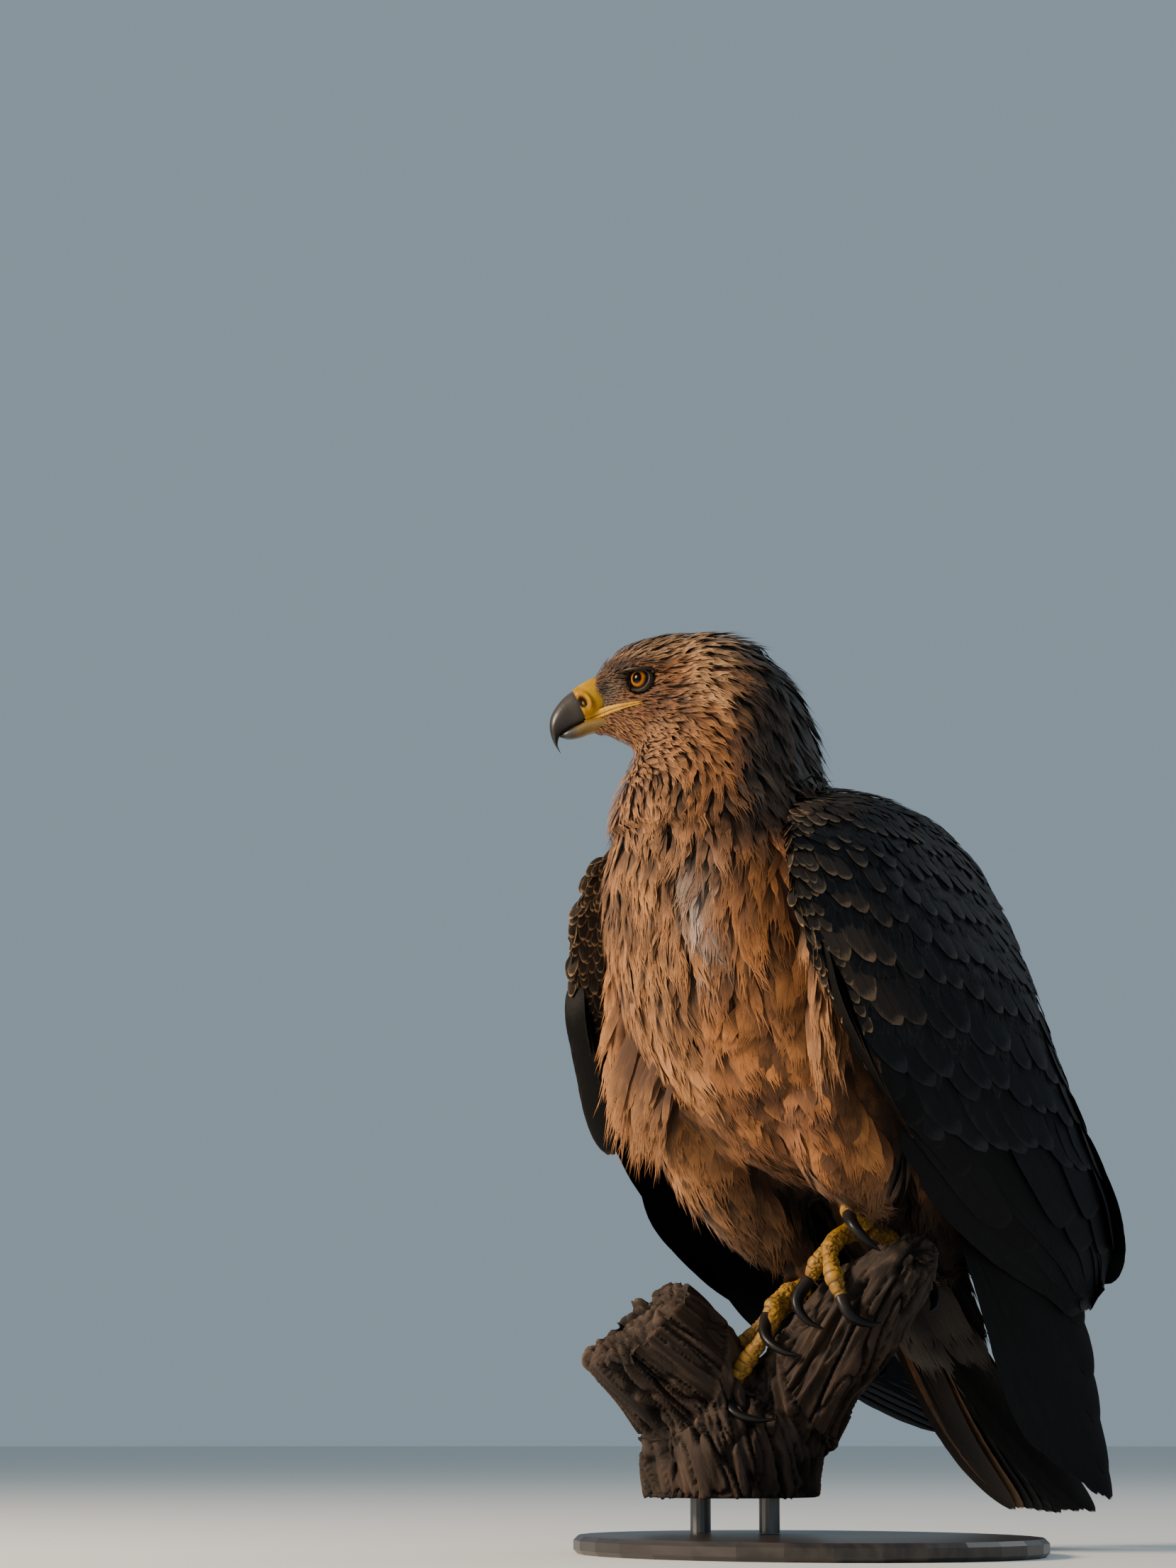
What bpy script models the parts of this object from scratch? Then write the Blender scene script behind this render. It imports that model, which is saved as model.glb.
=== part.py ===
"""Tawny eagle, life size, gripping a cut length of branch that a display stand carries.

The bird faces -Y with its left side at +X, the head is turned to its right, and the origin is
the middle of the stand's underside. Lengths are metres. The flesh is modelled whole as joined
lofts and then parted at the head, neck and trunk by thin plane cuts. Wings are curved shells
built from level outlines, and toes and claws wrap round the limb by angle and height.
"""

import math

import bpy
import bmesh
import numpy as np
from mathutils import Matrix, Vector

GAP = 0.0003                    # clearance between neighbouring solids
WELD = 0.00002                  # corners closer than this become one after a Boolean
ASLANT = (0.31, 0.22, 0.93)     # a direction that no tube starts along

# Rings along a loft and points round each ring
CERE_GRID = (5, 16)
BILL_GRID = (9, 12)
JAW_GRID = (5, 12)
THIGH_GRID = (7, 14)
SHANK_GRID = (4, 12)

# Stand: an oval plate and two rods
BASE_HALF = (0.170, 0.140)      # half length along X, half width along Y
BASE_THICK = 0.012
BASE_BEVEL = 0.003
ROD_RADIUS = 0.007
ROD_PLACES = ((-0.104, 0.002), (-0.056, 0.020))
PERCH_CUT = 0.036               # height of the sawn underside of the branch

# Branch: the gripped limb's axis starts at LIMB_START and runs toward the bird's left
LIMB_START = Vector((-0.044, 0.038, 0.104))
LIMB_ALONG = Vector((0.793, -0.074, 0.605)).normalized()
LIMB_TOP = (Vector((0, 0, 1)) - LIMB_ALONG * LIMB_ALONG.z).normalized()
LIMB_FRONT = LIMB_ALONG.cross(LIMB_TOP)
#               along,  radius
LIMB_SIZES = ((-0.052, 0.043), (0.000, 0.037), (0.050, 0.034), (0.100, 0.031),
              (0.132, 0.025), (0.158, 0.014))
#                x,      y,     z,   radius
STEM_SIZES = ((-0.078, 0.010, 0.020, 0.055), (-0.081, 0.010, 0.052, 0.063),
              (-0.084, 0.014, 0.086, 0.060), (-0.080, 0.020, 0.112, 0.040))
SIDE_LIMB_SIZES = ((-0.078, 0.015, 0.070, 0.044), (-0.094, -0.018, 0.112, 0.046),
                   (-0.106, -0.052, 0.152, 0.043))
BACK_LIMB_SIZES = ((-0.082, 0.024, 0.070, 0.034), (-0.104, 0.004, 0.118, 0.029),
                   (-0.118, -0.010, 0.156, 0.026))

# Head: its frame sits under the eyes, forward along the bill
HEAD_ORIGIN = Vector((-0.0293, -0.1222, 0.5687))
HEAD_TURN = math.radians(42.0)  # to the bird's right
EYE_RADIUS = 0.0088
EYE_OUT = 0.0172                # eyeball centre from the middle of the head
#              fore,   top,    bottom, half width, fullness
HEAD_SIZES = ((0.0275, 0.0085, -0.0200, 0.0080, 2.0), (0.0235, 0.0158, -0.0320, 0.0135, 2.1),
              (0.0140, 0.0245, -0.0385, 0.0200, 2.3), (0.0010, 0.0300, -0.0440, 0.0262, 2.5),
              (-0.0150, 0.0340, -0.0500, 0.0308, 2.4), (-0.0320, 0.0356, -0.0540, 0.0338, 2.3),
              (-0.0500, 0.0356, -0.0560, 0.0350, 2.2), (-0.0680, 0.0335, -0.0540, 0.0330, 2.0),
              (-0.0840, 0.0270, -0.0440, 0.0260, 2.0))
CERE_SIZES = ((0.0150, 0.0120, 0.0100, -0.0190, 0.0120), (0.0300, 0.0036, 0.0235, -0.0205, 0.0112),
              (0.0412, -0.0030, 0.0322, -0.0232, 0.0098))
#               top fore, top,    low fore,  low,   half width
BILL_SIZES = ((0.0415, -0.0033, 0.0325, -0.0234, 0.0096), (0.0490, -0.0095, 0.0385, -0.0268, 0.0086),
              (0.0545, -0.0175, 0.0440, -0.0300, 0.0073), (0.0572, -0.0250, 0.0482, -0.0335, 0.0058),
              (0.0574, -0.0320, 0.0505, -0.0372, 0.0042), (0.0556, -0.0392, 0.0512, -0.0412, 0.0025),
              (0.0520, -0.0448, 0.0502, -0.0456, 0.0008))
JAW_SIZES = ((0.0120, -0.0205, 0.0120, -0.0310, 0.0100), (0.0290, -0.0245, 0.0290, -0.0332, 0.0088),
             (0.0410, -0.0300, 0.0410, -0.0362, 0.0066), (0.0490, -0.0362, 0.0485, -0.0378, 0.0030))

# Cuts that part the flesh: under the jaw to the nape, and across the foot of the neck
HEAD_CUT = ((0.012, 0, -0.050), (-0.100, 0, 0.016))
NECK_CUT = ((0, -0.080, 0.494), (0, -0.42, 0.91))

# Neck: level rings from the shoulders to the crown
#              height,   x,      y,    half long, half wide, turn
NECK_SIZES = ((0.4700, 0.000, -0.0740, 0.078, 0.080, 0.0), (0.5000, 0.001, -0.0764, 0.0715, 0.068, 0.5),
              (0.5240, 0.007, -0.0757, 0.0622, 0.056, 0.8), (0.5450, 0.007, -0.0789, 0.0600, 0.047, 1.0),
              (0.5690, 0.0095, -0.0792, 0.0475, 0.042, 1.0), (0.5880, 0.004, -0.0850, 0.0370, 0.035, 1.0),
              (0.6000, 0.000, -0.0880, 0.0240, 0.024, 1.0))

# Trunk: rings square to a leaning line down the middle of the body
#               y,      z,   half wide, half deep
TRUNK_SIZES = ((-0.088, 0.520, 0.040, 0.040), (-0.080, 0.488, 0.078, 0.070), (-0.064, 0.445, 0.099, 0.086),
               (-0.044, 0.395, 0.108, 0.093), (-0.018, 0.345, 0.106, 0.090), (0.014, 0.304, 0.096, 0.075),
               (0.052, 0.274, 0.080, 0.046), (0.090, 0.236, 0.067, 0.038), (0.120, 0.196, 0.056, 0.034))

# Tail: from the coverts to the tip
#              y,     z,   half wide, half thick, drop of the edges
TAIL_SIZES = ((0.096, 0.186, 0.048, 0.0300, 0.008), (0.128, 0.146, 0.052, 0.0180, 0.013),
              (0.168, 0.104, 0.053, 0.0085, 0.014), (0.210, 0.065, 0.052, 0.0045, 0.012),
              (0.240, 0.038, 0.048, 0.0024, 0.009), (0.252, 0.027, 0.030, 0.0013, 0.004))

# Left wing: level outlines, each from the front edge round the side to the back, and how far
# the wing's flesh reaches in toward the middle of that curve
#              height, front,            side,            rear,            inner,       depth
WING_SIZES = ((0.502, (0.040, -0.040), (0.055, -0.022), (0.046, 0.002), (0.014, 0.000), 0.55),
              (0.491, (0.066, -0.074), (0.092, -0.032), (0.072, 0.030), (0.008, 0.030), 0.56),
              (0.470, (0.092, -0.106), (0.118, -0.034), (0.088, 0.062), (0.005, 0.060), 0.56),
              (0.430, (0.112, -0.129), (0.136, -0.034), (0.102, 0.086), (0.004, 0.080), 0.52),
              (0.375, (0.124, -0.119), (0.146, -0.008), (0.119, 0.099), (0.006, 0.102), 0.40),
              (0.320, (0.123, -0.077), (0.140, 0.032), (0.115, 0.131), (0.020, 0.134), 0.22),
              (0.265, (0.112, -0.025), (0.127, 0.086), (0.104, 0.178), (0.044, 0.168), 0.12),
              (0.215, (0.096, 0.058), (0.110, 0.138), (0.092, 0.213), (0.058, 0.196), 0.10),
              (0.180, (0.085, 0.120), (0.095, 0.163), (0.083, 0.207), (0.066, 0.196), 0.11),
              (0.161, (0.078, 0.164), (0.083, 0.180), (0.077, 0.196), (0.070, 0.190), 0.14))
SHOULDER_CUT = 0.447            # height of the cut between shoulder and coverts
COVERT_CUT = (Vector((0.12, 0.02, 0.290)), Vector((0.0, 0.12, -0.99)))
#                  x,     y,     z,   half wide, half thick
PRIMARY_SIZES = {
    "left": ((0.082, 0.076, 0.225, 0.032, 0.0034), (0.077, 0.119, 0.168, 0.041, 0.0038),
             (0.068, 0.166, 0.110, 0.040, 0.0034), (0.058, 0.207, 0.065, 0.030, 0.0026),
             (0.048, 0.245, 0.034, 0.011, 0.0015)),
    "right": ((0.082, 0.080, 0.225, 0.026, 0.0030), (0.077, 0.126, 0.170, 0.034, 0.0036),
              (0.068, 0.172, 0.112, 0.034, 0.0032), (0.058, 0.211, 0.066, 0.026, 0.0026),
              (0.048, 0.246, 0.034, 0.010, 0.0015))}
PRIMARY_WIDE = Vector((0.10, 0.76, 0.65)).normalized()
# Right wing: the left one mirrored, carried back and lower, easing out toward the tip
WRIST = Vector((0.118, -0.134, 0.413))
RIGHT_SHIFT = Vector((0.000, 0.022, 0.008))
RIGHT_DROOP = math.radians(15.0)
RIGHT_FLARE = math.radians(10.0)
RIGHT_BEND = 0.12               # depth under the wrist over which the droop sets in
DROOP_EASE = (0.30, 0.45)       # distances from the wrist where the droop starts to ease and ends
FLARE_EASE = (0.17, 0.42)       # and the same for the flare

# Legs: thigh and feathered shank, top to bottom
#              x,      y,      z,   half wide, half deep
THIGH_SIZES = {
    "left": ((0.058, -0.020, 0.345, 0.030, 0.036), (0.060, -0.020, 0.310, 0.042, 0.054),
             (0.055, -0.004, 0.272, 0.040, 0.050), (0.043, 0.017, 0.246, 0.028, 0.032),
             (0.036, 0.026, 0.232, 0.020, 0.022)),
    "right": ((-0.058, -0.020, 0.345, 0.030, 0.036), (-0.060, -0.020, 0.300, 0.042, 0.054),
              (-0.056, -0.004, 0.252, 0.038, 0.048), (-0.046, 0.021, 0.216, 0.028, 0.032),
              (-0.041, 0.030, 0.200, 0.020, 0.022))}
SHANK_SIZES = {
    "left": ((0.0360, 0.0255, 0.2340, 0.0152, 0.0166), (0.0300, 0.0288, 0.2255, 0.0134, 0.0144),
             (0.0252, 0.0291, 0.2170, 0.0110, 0.0110)),
    "right": ((-0.0405, 0.0300, 0.2020, 0.0160, 0.0178), (-0.0380, 0.0334, 0.1890, 0.0138, 0.0150),
              (-0.0363, 0.0349, 0.1774, 0.0112, 0.0114))}

# Toes: places on the limb as (along, degrees from its top toward the front, height over the axis)
SOLE_RADIUS = 0.0120
TOE_RADIUS = 0.0064
CLAW_RADIUS = 0.0047
TOE_PLACES = {
    "left": {"inner": ((0.118, 5, 0.046), (0.102, 34, 0.047), (0.084, 46, 0.044)),
             "middle": ((0.122, 6, 0.046), (0.115, 40, 0.046), (0.112, 72, 0.041), (0.109, 96, 0.039)),
             "outer": ((0.126, 5, 0.046), (0.139, 26, 0.052), (0.147, 48, 0.050)),
             "hallux": ((0.120, -6, 0.046), (0.116, -38, 0.044), (0.112, -62, 0.041))},
    "right": {"inner": ((0.054, 5, 0.050), (0.047, 26, 0.052), (0.038, 44, 0.050)),
              "middle": ((0.048, 8, 0.050), (0.036, 52, 0.046), (0.014, 70, 0.044), (-0.004, 86, 0.044)),
              "outer": ((0.044, 2, 0.050), (0.014, 22, 0.049), (-0.014, 42, 0.046)),
              "hallux": ((0.047, -6, 0.050), (0.044, -38, 0.047), (0.042, -62, 0.044))}}
CLAW_PLACES = {
    "left": {"inner": ((0.084, 47, 0.044), (0.075, 66, 0.046), (0.074, 84, 0.041), (0.078, 100, 0.0345)),
             "middle": ((0.109, 97, 0.039), (0.108, 118, 0.042), (0.109, 134, 0.038), (0.112, 146, 0.0335)),
             "outer": ((0.147, 49, 0.050), (0.152, 66, 0.048), (0.153, 82, 0.040), (0.152, 92, 0.032)),
             "hallux": ((0.112, -63, 0.041), (0.110, -86, 0.044), (0.110, -104, 0.040), (0.111, -118, 0.0345))},
    "right": {"inner": ((0.038, 45, 0.050), (0.038, 68, 0.048), (0.044, 88, 0.042), (0.051, 101, 0.0365)),
              "middle": ((-0.004, 87, 0.044), (-0.005, 112, 0.046), (0.000, 132, 0.041), (0.006, 144, 0.0365)),
              "outer": ((-0.014, 43, 0.046), (-0.023, 62, 0.048), (-0.025, 80, 0.044), (-0.023, 93, 0.039)),
              "hallux": ((0.042, -63, 0.044), (0.040, -86, 0.046), (0.041, -104, 0.042), (0.043, -118, 0.037))}}

# Colour, roughness
FINISHES = {
    "plumage": ((0.30, 0.17, 0.09), 0.85), "dark_plumage": ((0.045, 0.037, 0.032), 0.70),
    "flight": ((0.022, 0.019, 0.018), 0.55), "bill": ((0.06, 0.062, 0.068), 0.35),
    "cere": ((0.72, 0.48, 0.06), 0.45), "iris": ((0.35, 0.16, 0.03), 0.08),
    "toe": ((0.70, 0.50, 0.10), 0.55), "claw": ((0.02, 0.02, 0.022), 0.30),
    "bark": ((0.10, 0.075, 0.060), 0.90), "stand": ((0.035, 0.032, 0.030), 0.45),
    "rod": ((0.10, 0.10, 0.10), 0.35)}


def material(name):
    """Principled material with the named finish."""
    found = bpy.data.materials.get(name)
    if found:
        return found
    made = bpy.data.materials.new(name)
    made.use_nodes = True
    shader = made.node_tree.nodes["Principled BSDF"]
    colour, roughness = FINISHES[name]
    shader.inputs["Base Color"].default_value = (*colour, 1.0)
    shader.inputs["Roughness"].default_value = roughness
    return made


def add_mesh(name, points, faces):
    """Object from points and faces, in triangles turned outward."""
    mesh = bpy.data.meshes.new(name)
    mesh.from_pydata([tuple(point) for point in points], [], faces)
    made = bpy.data.objects.new(name, mesh)
    bpy.context.scene.collection.objects.link(made)
    edit = bmesh.new()
    edit.from_mesh(mesh)
    bmesh.ops.triangulate(edit, faces=edit.faces)
    if edit.calc_volume(signed=True) < 0:
        bmesh.ops.reverse_faces(edit, faces=edit.faces)
    edit.to_mesh(mesh)
    edit.free()
    return made


def finish(made, finish_name, sharp=40.0):
    """Give a finished node its material and smooth shading."""
    made.data.materials.clear()
    made.data.materials.append(material(finish_name))
    made.data.shade_smooth()
    made.data.set_sharp_from_angle(angle=math.radians(sharp))
    return made


def spline(rows, count):
    """Catmull-Rom curve through the rows, read at count even places."""
    rows = np.asarray(rows, dtype=float)
    padded = np.vstack([2 * rows[0] - rows[1], rows, 2 * rows[-1] - rows[-2]])
    place = np.linspace(0, len(rows) - 1, count)
    span = np.minimum(place.astype(int), len(rows) - 2)
    t = (place - span)[:, None]
    before, start, end, after = (padded[span + step] for step in range(4))
    return 0.5 * (2 * start + (end - before) * t + (2 * before - 5 * start + 4 * end - after) * t ** 2
                  + (3 * start - before - 3 * end + after) * t ** 3)


def loft(name, rings, folded=False):
    """Closed skin over equal rings of points.

    Each end is closed by a fan round its middle, or, for a ring folded flat on itself, by a
    strip from each point to its partner on the other side.
    """
    rings = np.asarray(rings, dtype=float)
    count, sides = rings.shape[:2]
    points = [*rings.reshape(-1, 3)]
    last = (count - 1) * sides
    faces = []
    for row in range(count - 1):
        for side in range(sides):
            after = (side + 1) % sides
            low, high = row * sides, (row + 1) * sides
            faces.append((low + side, low + after, high + after, high + side))
    if folded:
        for side in range(sides // 2 - 1):
            strip = (side, side + 1, sides - 2 - side, sides - 1 - side)
            faces.append(strip[::-1])
            faces.append(tuple(last + corner for corner in strip))
        return add_mesh(name, points, faces)
    points += [rings[0].mean(axis=0), rings[-1].mean(axis=0)]
    for side in range(sides):
        after = (side + 1) % sides
        faces.append((count * sides, after, side))
        faces.append((count * sides + 1, last + side, last + after))
    return add_mesh(name, points, faces)


def oval(centre, across, up, half_across, half_up, sides, fullness=2.0):
    """Superellipse ring; a fullness over 2 squares it."""
    angles = np.linspace(0, 2 * math.pi, sides, endpoint=False)
    wide = np.sign(np.cos(angles)) * np.abs(np.cos(angles)) ** (2 / fullness)
    high = np.sign(np.sin(angles)) * np.abs(np.sin(angles)) ** (2 / fullness)
    return (np.asarray(centre) + np.outer(wide, across) * half_across + np.outer(high, up) * half_up)


def tube(name, centres, radii, sides, flat=1.0):
    """Round bar along a line of centres, kept from twisting; flat under 1 presses it level."""
    centres = np.asarray(centres, dtype=float)
    steps = np.gradient(centres, axis=0)
    steps /= np.linalg.norm(steps, axis=1)[:, None]
    across = np.cross(steps[0], ASLANT)
    rings = []
    for centre, step, radius in zip(centres, steps, radii):
        across = across - step * across.dot(step)
        across /= np.linalg.norm(across)
        rings.append(oval(centre, across, np.cross(step, across), radius, radius * flat, sides))
    return loft(name, rings)


def combine(target, other, operation):
    """Exact Boolean of two meshes, welded, kept on the first one; the second is removed."""
    change = target.modifiers.new(operation.lower(), "BOOLEAN")
    change.operation = operation
    change.solver = "EXACT"
    change.object = other
    depsgraph = bpy.context.evaluated_depsgraph_get()
    result = bpy.data.meshes.new_from_object(target.evaluated_get(depsgraph))
    target.modifiers.clear()
    target.data = result
    edit = bmesh.new()
    edit.from_mesh(result)
    bmesh.ops.remove_doubles(edit, verts=edit.verts, dist=WELD)
    bmesh.ops.dissolve_degenerate(edit, edges=edit.edges, dist=WELD / 2)
    edit.to_mesh(result)
    edit.free()
    bpy.data.objects.remove(other)
    return target


def cut_away(target, *cutters):
    """Carve each cutter, swollen by the gap, out of a solid."""
    for cutter in cutters:
        shift = [vertex.normal * GAP * 1.4 for vertex in cutter.data.vertices]
        for vertex, move in zip(cutter.data.vertices, shift):
            vertex.co += move
        combine(target, cutter, "DIFFERENCE")
    return target


def copy_of(source, name):
    """Separate copy of an object and its mesh."""
    made = bpy.data.objects.new(name, source.data.copy())
    bpy.context.scene.collection.objects.link(made)
    return made


def keep_side(source, name, point, normal):
    """Copy of a solid with what lies beyond a plane cut off and the cut closed."""
    made = copy_of(source, name)
    edit = bmesh.new()
    edit.from_mesh(made.data)
    whole = [*edit.verts, *edit.edges, *edit.faces]
    bmesh.ops.bisect_plane(edit, geom=whole, plane_co=point, plane_no=normal, clear_outer=True)
    bmesh.ops.holes_fill(edit, edges=[edge for edge in edit.edges if edge.is_boundary])
    edit.to_mesh(made.data)
    edit.free()
    return made


def part(source, names, point, normal):
    """Split a solid in two by a thin cut: first the side behind the plane, then the side beyond."""
    normal = Vector(normal).normalized()
    point = Vector(point)
    behind = keep_side(source, names[0], point - normal * GAP / 2, normal)
    beyond = keep_side(source, names[1], point + normal * GAP / 2, -normal)
    bpy.data.objects.remove(source)
    return behind, beyond


def head_frame():
    """Directions of the head: forward along the bill, toward its left side, and up."""
    forward = Vector((-math.sin(HEAD_TURN), -math.cos(HEAD_TURN), 0))
    up = Vector((0, 0, 1))
    return forward, up.cross(forward), up


def head_place(fore, left, high):
    """World place of a point given in the head's frame."""
    forward, side, up = head_frame()
    return HEAD_ORIGIN + forward * fore + side * left + up * high


def head_loft(name, sizes, count, sides):
    """Loft of rings that each hang between a top and a low point of the head's middle plane."""
    side = np.array(head_frame()[1])
    rings = []
    for top_fore, top, low_fore, low, half_wide in spline(sizes, count):
        high_point = np.array(head_place(top_fore, 0, top))
        low_point = np.array(head_place(low_fore, 0, low))
        upright = (high_point - low_point) / 2
        half_high = np.linalg.norm(upright)
        centre = (high_point + low_point) / 2
        rings.append(oval(centre, side, upright / half_high, half_wide, half_high, sides))
    return loft(name, rings)


def skull():
    """Feathered head as upright rings from the forehead to the nape."""
    side = np.array(head_frame()[1])
    rings = []
    for fore, top, bottom, half_wide, fullness in spline(HEAD_SIZES, 11):
        centre = head_place(fore, 0, (top + bottom) / 2)
        rings.append(oval(centre, side, (0, 0, 1), half_wide, (top - bottom) / 2, 16, fullness))
    return loft("skull", rings)


def neck_column():
    """Neck and nape as level rings that turn with the head."""
    rings = []
    for height, x, y, half_long, half_wide, turned in spline(NECK_SIZES, 9):
        angle = HEAD_TURN * turned
        forward = np.array((-math.sin(angle), -math.cos(angle), 0))
        side = np.array((math.cos(angle), -math.sin(angle), 0))
        rings.append(oval((x, y, height), side, forward, half_wide, half_long, 16))
    return loft("neck_column", rings)


def trunk_body():
    """Trunk as rings square to its leaning line, the ends drawn in round."""
    line = spline(TRUNK_SIZES, 11)
    steps = np.gradient(line[:, :2], axis=0)
    steps /= np.linalg.norm(steps, axis=1)[:, None]
    rings = []
    for (y, z, half_wide, half_deep), (step_y, step_z) in zip(line, steps):
        deep = (0, -step_z, step_y)
        rings.append(oval((0, y, z), (1, 0, 0), deep, half_wide, half_deep, 16))
    return loft("trunk_body", rings)


def leg_piece(name, sizes, count, sides):
    """Thigh or shank as a loft of ovals square to its own line."""
    line = spline(sizes, count)
    steps = np.gradient(line[:, :3], axis=0)
    rings = []
    for row, step in zip(line, steps):
        step = step / np.linalg.norm(step)
        deep = np.cross(step, (1, 0, 0))
        deep /= np.linalg.norm(deep)
        rings.append(oval(row[:3], np.cross(deep, step), deep, row[3], row[4], sides))
    return loft(name, rings)


def tail_slab():
    """Tail as a thin arched slab, edges lower than the middle."""
    line = spline(TAIL_SIZES, 10)
    steps = np.gradient(line[:, :2], axis=0)
    across = np.linspace(-1, 1, 7)
    rings = []
    for (y, z, half_wide, half_thick, drop), step in zip(line, steps):
        step = step / np.linalg.norm(step)
        over = np.array((0, -step[1], step[0]))
        thick = half_thick * (1 - 0.55 * across ** 2)
        sheet = (np.array((0, y, z)) + np.outer(across, (1, 0, 0)) * half_wide
                 - np.outer(drop * across ** 2, over))
        rings.append(np.vstack([sheet + np.outer(thick, over), (sheet - np.outer(thick, over))[::-1]]))
    return loft("tail_slab", rings, folded=True)


def pose_wing(points, side):
    """Left wing points as they are, or mirrored, drooped and flared for the right wing."""
    points = np.array(points, dtype=float)
    if side == "left":
        return points
    arm = points - np.array(WRIST)
    reach = np.linalg.norm(arm, axis=-1)
    below = np.clip(-arm[..., 2] / RIGHT_BEND, 0, 1)
    droop, flare = (turn * below * (1 - np.clip((reach - start) / (end - start), 0, 1))
                    for turn, (start, end) in ((RIGHT_DROOP, DROOP_EASE), (RIGHT_FLARE, FLARE_EASE)))
    x, y, z = arm[..., 0], arm[..., 1], arm[..., 2]
    y, z = y * np.cos(droop) + z * np.sin(droop), z * np.cos(droop) - y * np.sin(droop)
    x, z = x * np.cos(flare) - z * np.sin(flare), z * np.cos(flare) + x * np.sin(flare)
    moved = np.stack([x, y, z], axis=-1) + np.array(WRIST) + np.array(RIGHT_SHIFT)
    return moved * np.array((-1, 1, 1))


def wing_shell(side):
    """Folded wing as level rings, an outer curve and the same curve drawn toward its middle."""
    rows = [[height, *front, *flank, *rear, *inner, depth]
            for height, front, flank, rear, inner, depth in WING_SIZES]
    rings = []
    for row in spline(rows, 12):
        front, flank, rear, inner = row[1:9].reshape(4, 2)
        outer = spline([front, flank, rear, inner], 9)
        inward = (front + inner) / 2 * 1.1 - flank * 0.1 - outer
        round_edge = np.sqrt(np.sin(np.linspace(0.04, 0.96, 9) * math.pi))
        inset = outer + inward * (row[9] * (0.3 + 0.7 * round_edge))[:, None]
        ring = np.vstack([outer, inset[::-1]])
        rings.append(np.column_stack([ring, np.full(len(ring), row[0])]))
    return loft("wing_shell", pose_wing(np.array(rings), side), folded=True)


def primary_blade(side):
    """Folded primaries as one thin lens-shaped blade."""
    line = spline(PRIMARY_SIZES[side], 9)
    steps = np.gradient(line[:, :3], axis=0)
    rings = []
    for row, step in zip(line, steps):
        step = step / np.linalg.norm(step)
        wide = np.array(PRIMARY_WIDE) - step * step.dot(PRIMARY_WIDE)
        wide /= np.linalg.norm(wide)
        rings.append(oval(row[:3], wide, np.cross(step, wide), row[3], row[4], 10))
    return loft(f"wing_{side}_primaries", pose_wing(np.array(rings), side))


def on_limb(along, degrees, height):
    """World place given along the limb, round it from its top, and over its axis."""
    angle = math.radians(degrees)
    return (LIMB_START + LIMB_ALONG * along
            + (LIMB_TOP * math.cos(angle) + LIMB_FRONT * math.sin(angle)) * height)


def toe(side, name):
    """One toe along its places, swelling at the joints."""
    line = spline([on_limb(*place) for place in TOE_PLACES[side][name]], 6)
    swell = 1 + 0.10 * np.cos(np.linspace(0, 4 * math.pi, 6))
    taper = np.linspace(1.08, 0.82, 6)
    return tube("toe", line, TOE_RADIUS * swell * taper, 7)


def claw(name, places):
    """Curved claw tapering to its point."""
    line = spline([on_limb(*place) for place in places], 7)
    taper = 1 - 0.90 * np.linspace(0, 1, 7) ** 1.6
    return tube(name, line, CLAW_RADIUS * taper, 6)


def foot(name, side):
    """Sole and four toes joined."""
    starts = [on_limb(*places[0]) for places in TOE_PLACES[side].values()]
    bpy.ops.mesh.primitive_ico_sphere_add(subdivisions=2, radius=SOLE_RADIUS,
                                          location=sum(starts, Vector()) / len(starts))
    made = bpy.context.object
    made.name = name
    for toe_name in TOE_PLACES[side]:
        combine(made, toe(side, toe_name), "UNION")
    return made


def perch():
    """Cut branch: stem, gripped limb and two sawn stubs, the underside sawn level."""
    limb = spline([(*(LIMB_START + LIMB_ALONG * along), radius) for along, radius in LIMB_SIZES], 10)
    made = tube("perch", limb[:, :3], limb[:, 3], 12)
    for number, sizes in enumerate((STEM_SIZES, SIDE_LIMB_SIZES, BACK_LIMB_SIZES)):
        line = spline(sizes, 6)
        combine(made, tube(f"branch_{number}", line[:, :3], line[:, 3], 12), "UNION")
    sawn = keep_side(made, "sawn", (0, 0, PERCH_CUT), (0, 0, -1))
    bpy.data.objects.remove(made)
    sawn.name = "perch"
    return sawn


def stand():
    """Oval base plate and two short rods up to the sawn underside."""
    bpy.ops.mesh.primitive_cylinder_add(vertices=32, radius=1, depth=BASE_THICK,
                                        location=(0, 0, BASE_THICK / 2))
    base = bpy.context.object
    base.name = "stand_base"
    base.scale = (*BASE_HALF, 1)
    bpy.ops.object.transform_apply(scale=True)
    rim = base.modifiers.new("rim", "BEVEL")
    rim.width = BASE_BEVEL
    rim.segments = 1
    finish(base, "stand")
    low, high = BASE_THICK + GAP, PERCH_CUT - GAP
    for number, (x, y) in enumerate(ROD_PLACES, start=1):
        bpy.ops.mesh.primitive_cylinder_add(vertices=16, radius=ROD_RADIUS, depth=high - low,
                                            location=(x, y, (low + high) / 2))
        rod = bpy.context.object
        rod.name = f"stand_rod_{number}"
        finish(rod, "rod")


def eyeball(name, side):
    """Eyeball, its centre at the head frame's height."""
    bpy.ops.mesh.primitive_uv_sphere_add(segments=10, ring_count=7, radius=EYE_RADIUS,
                                         location=head_place(0, side * EYE_OUT, 0))
    made = bpy.context.object
    made.name = name
    return made


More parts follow.
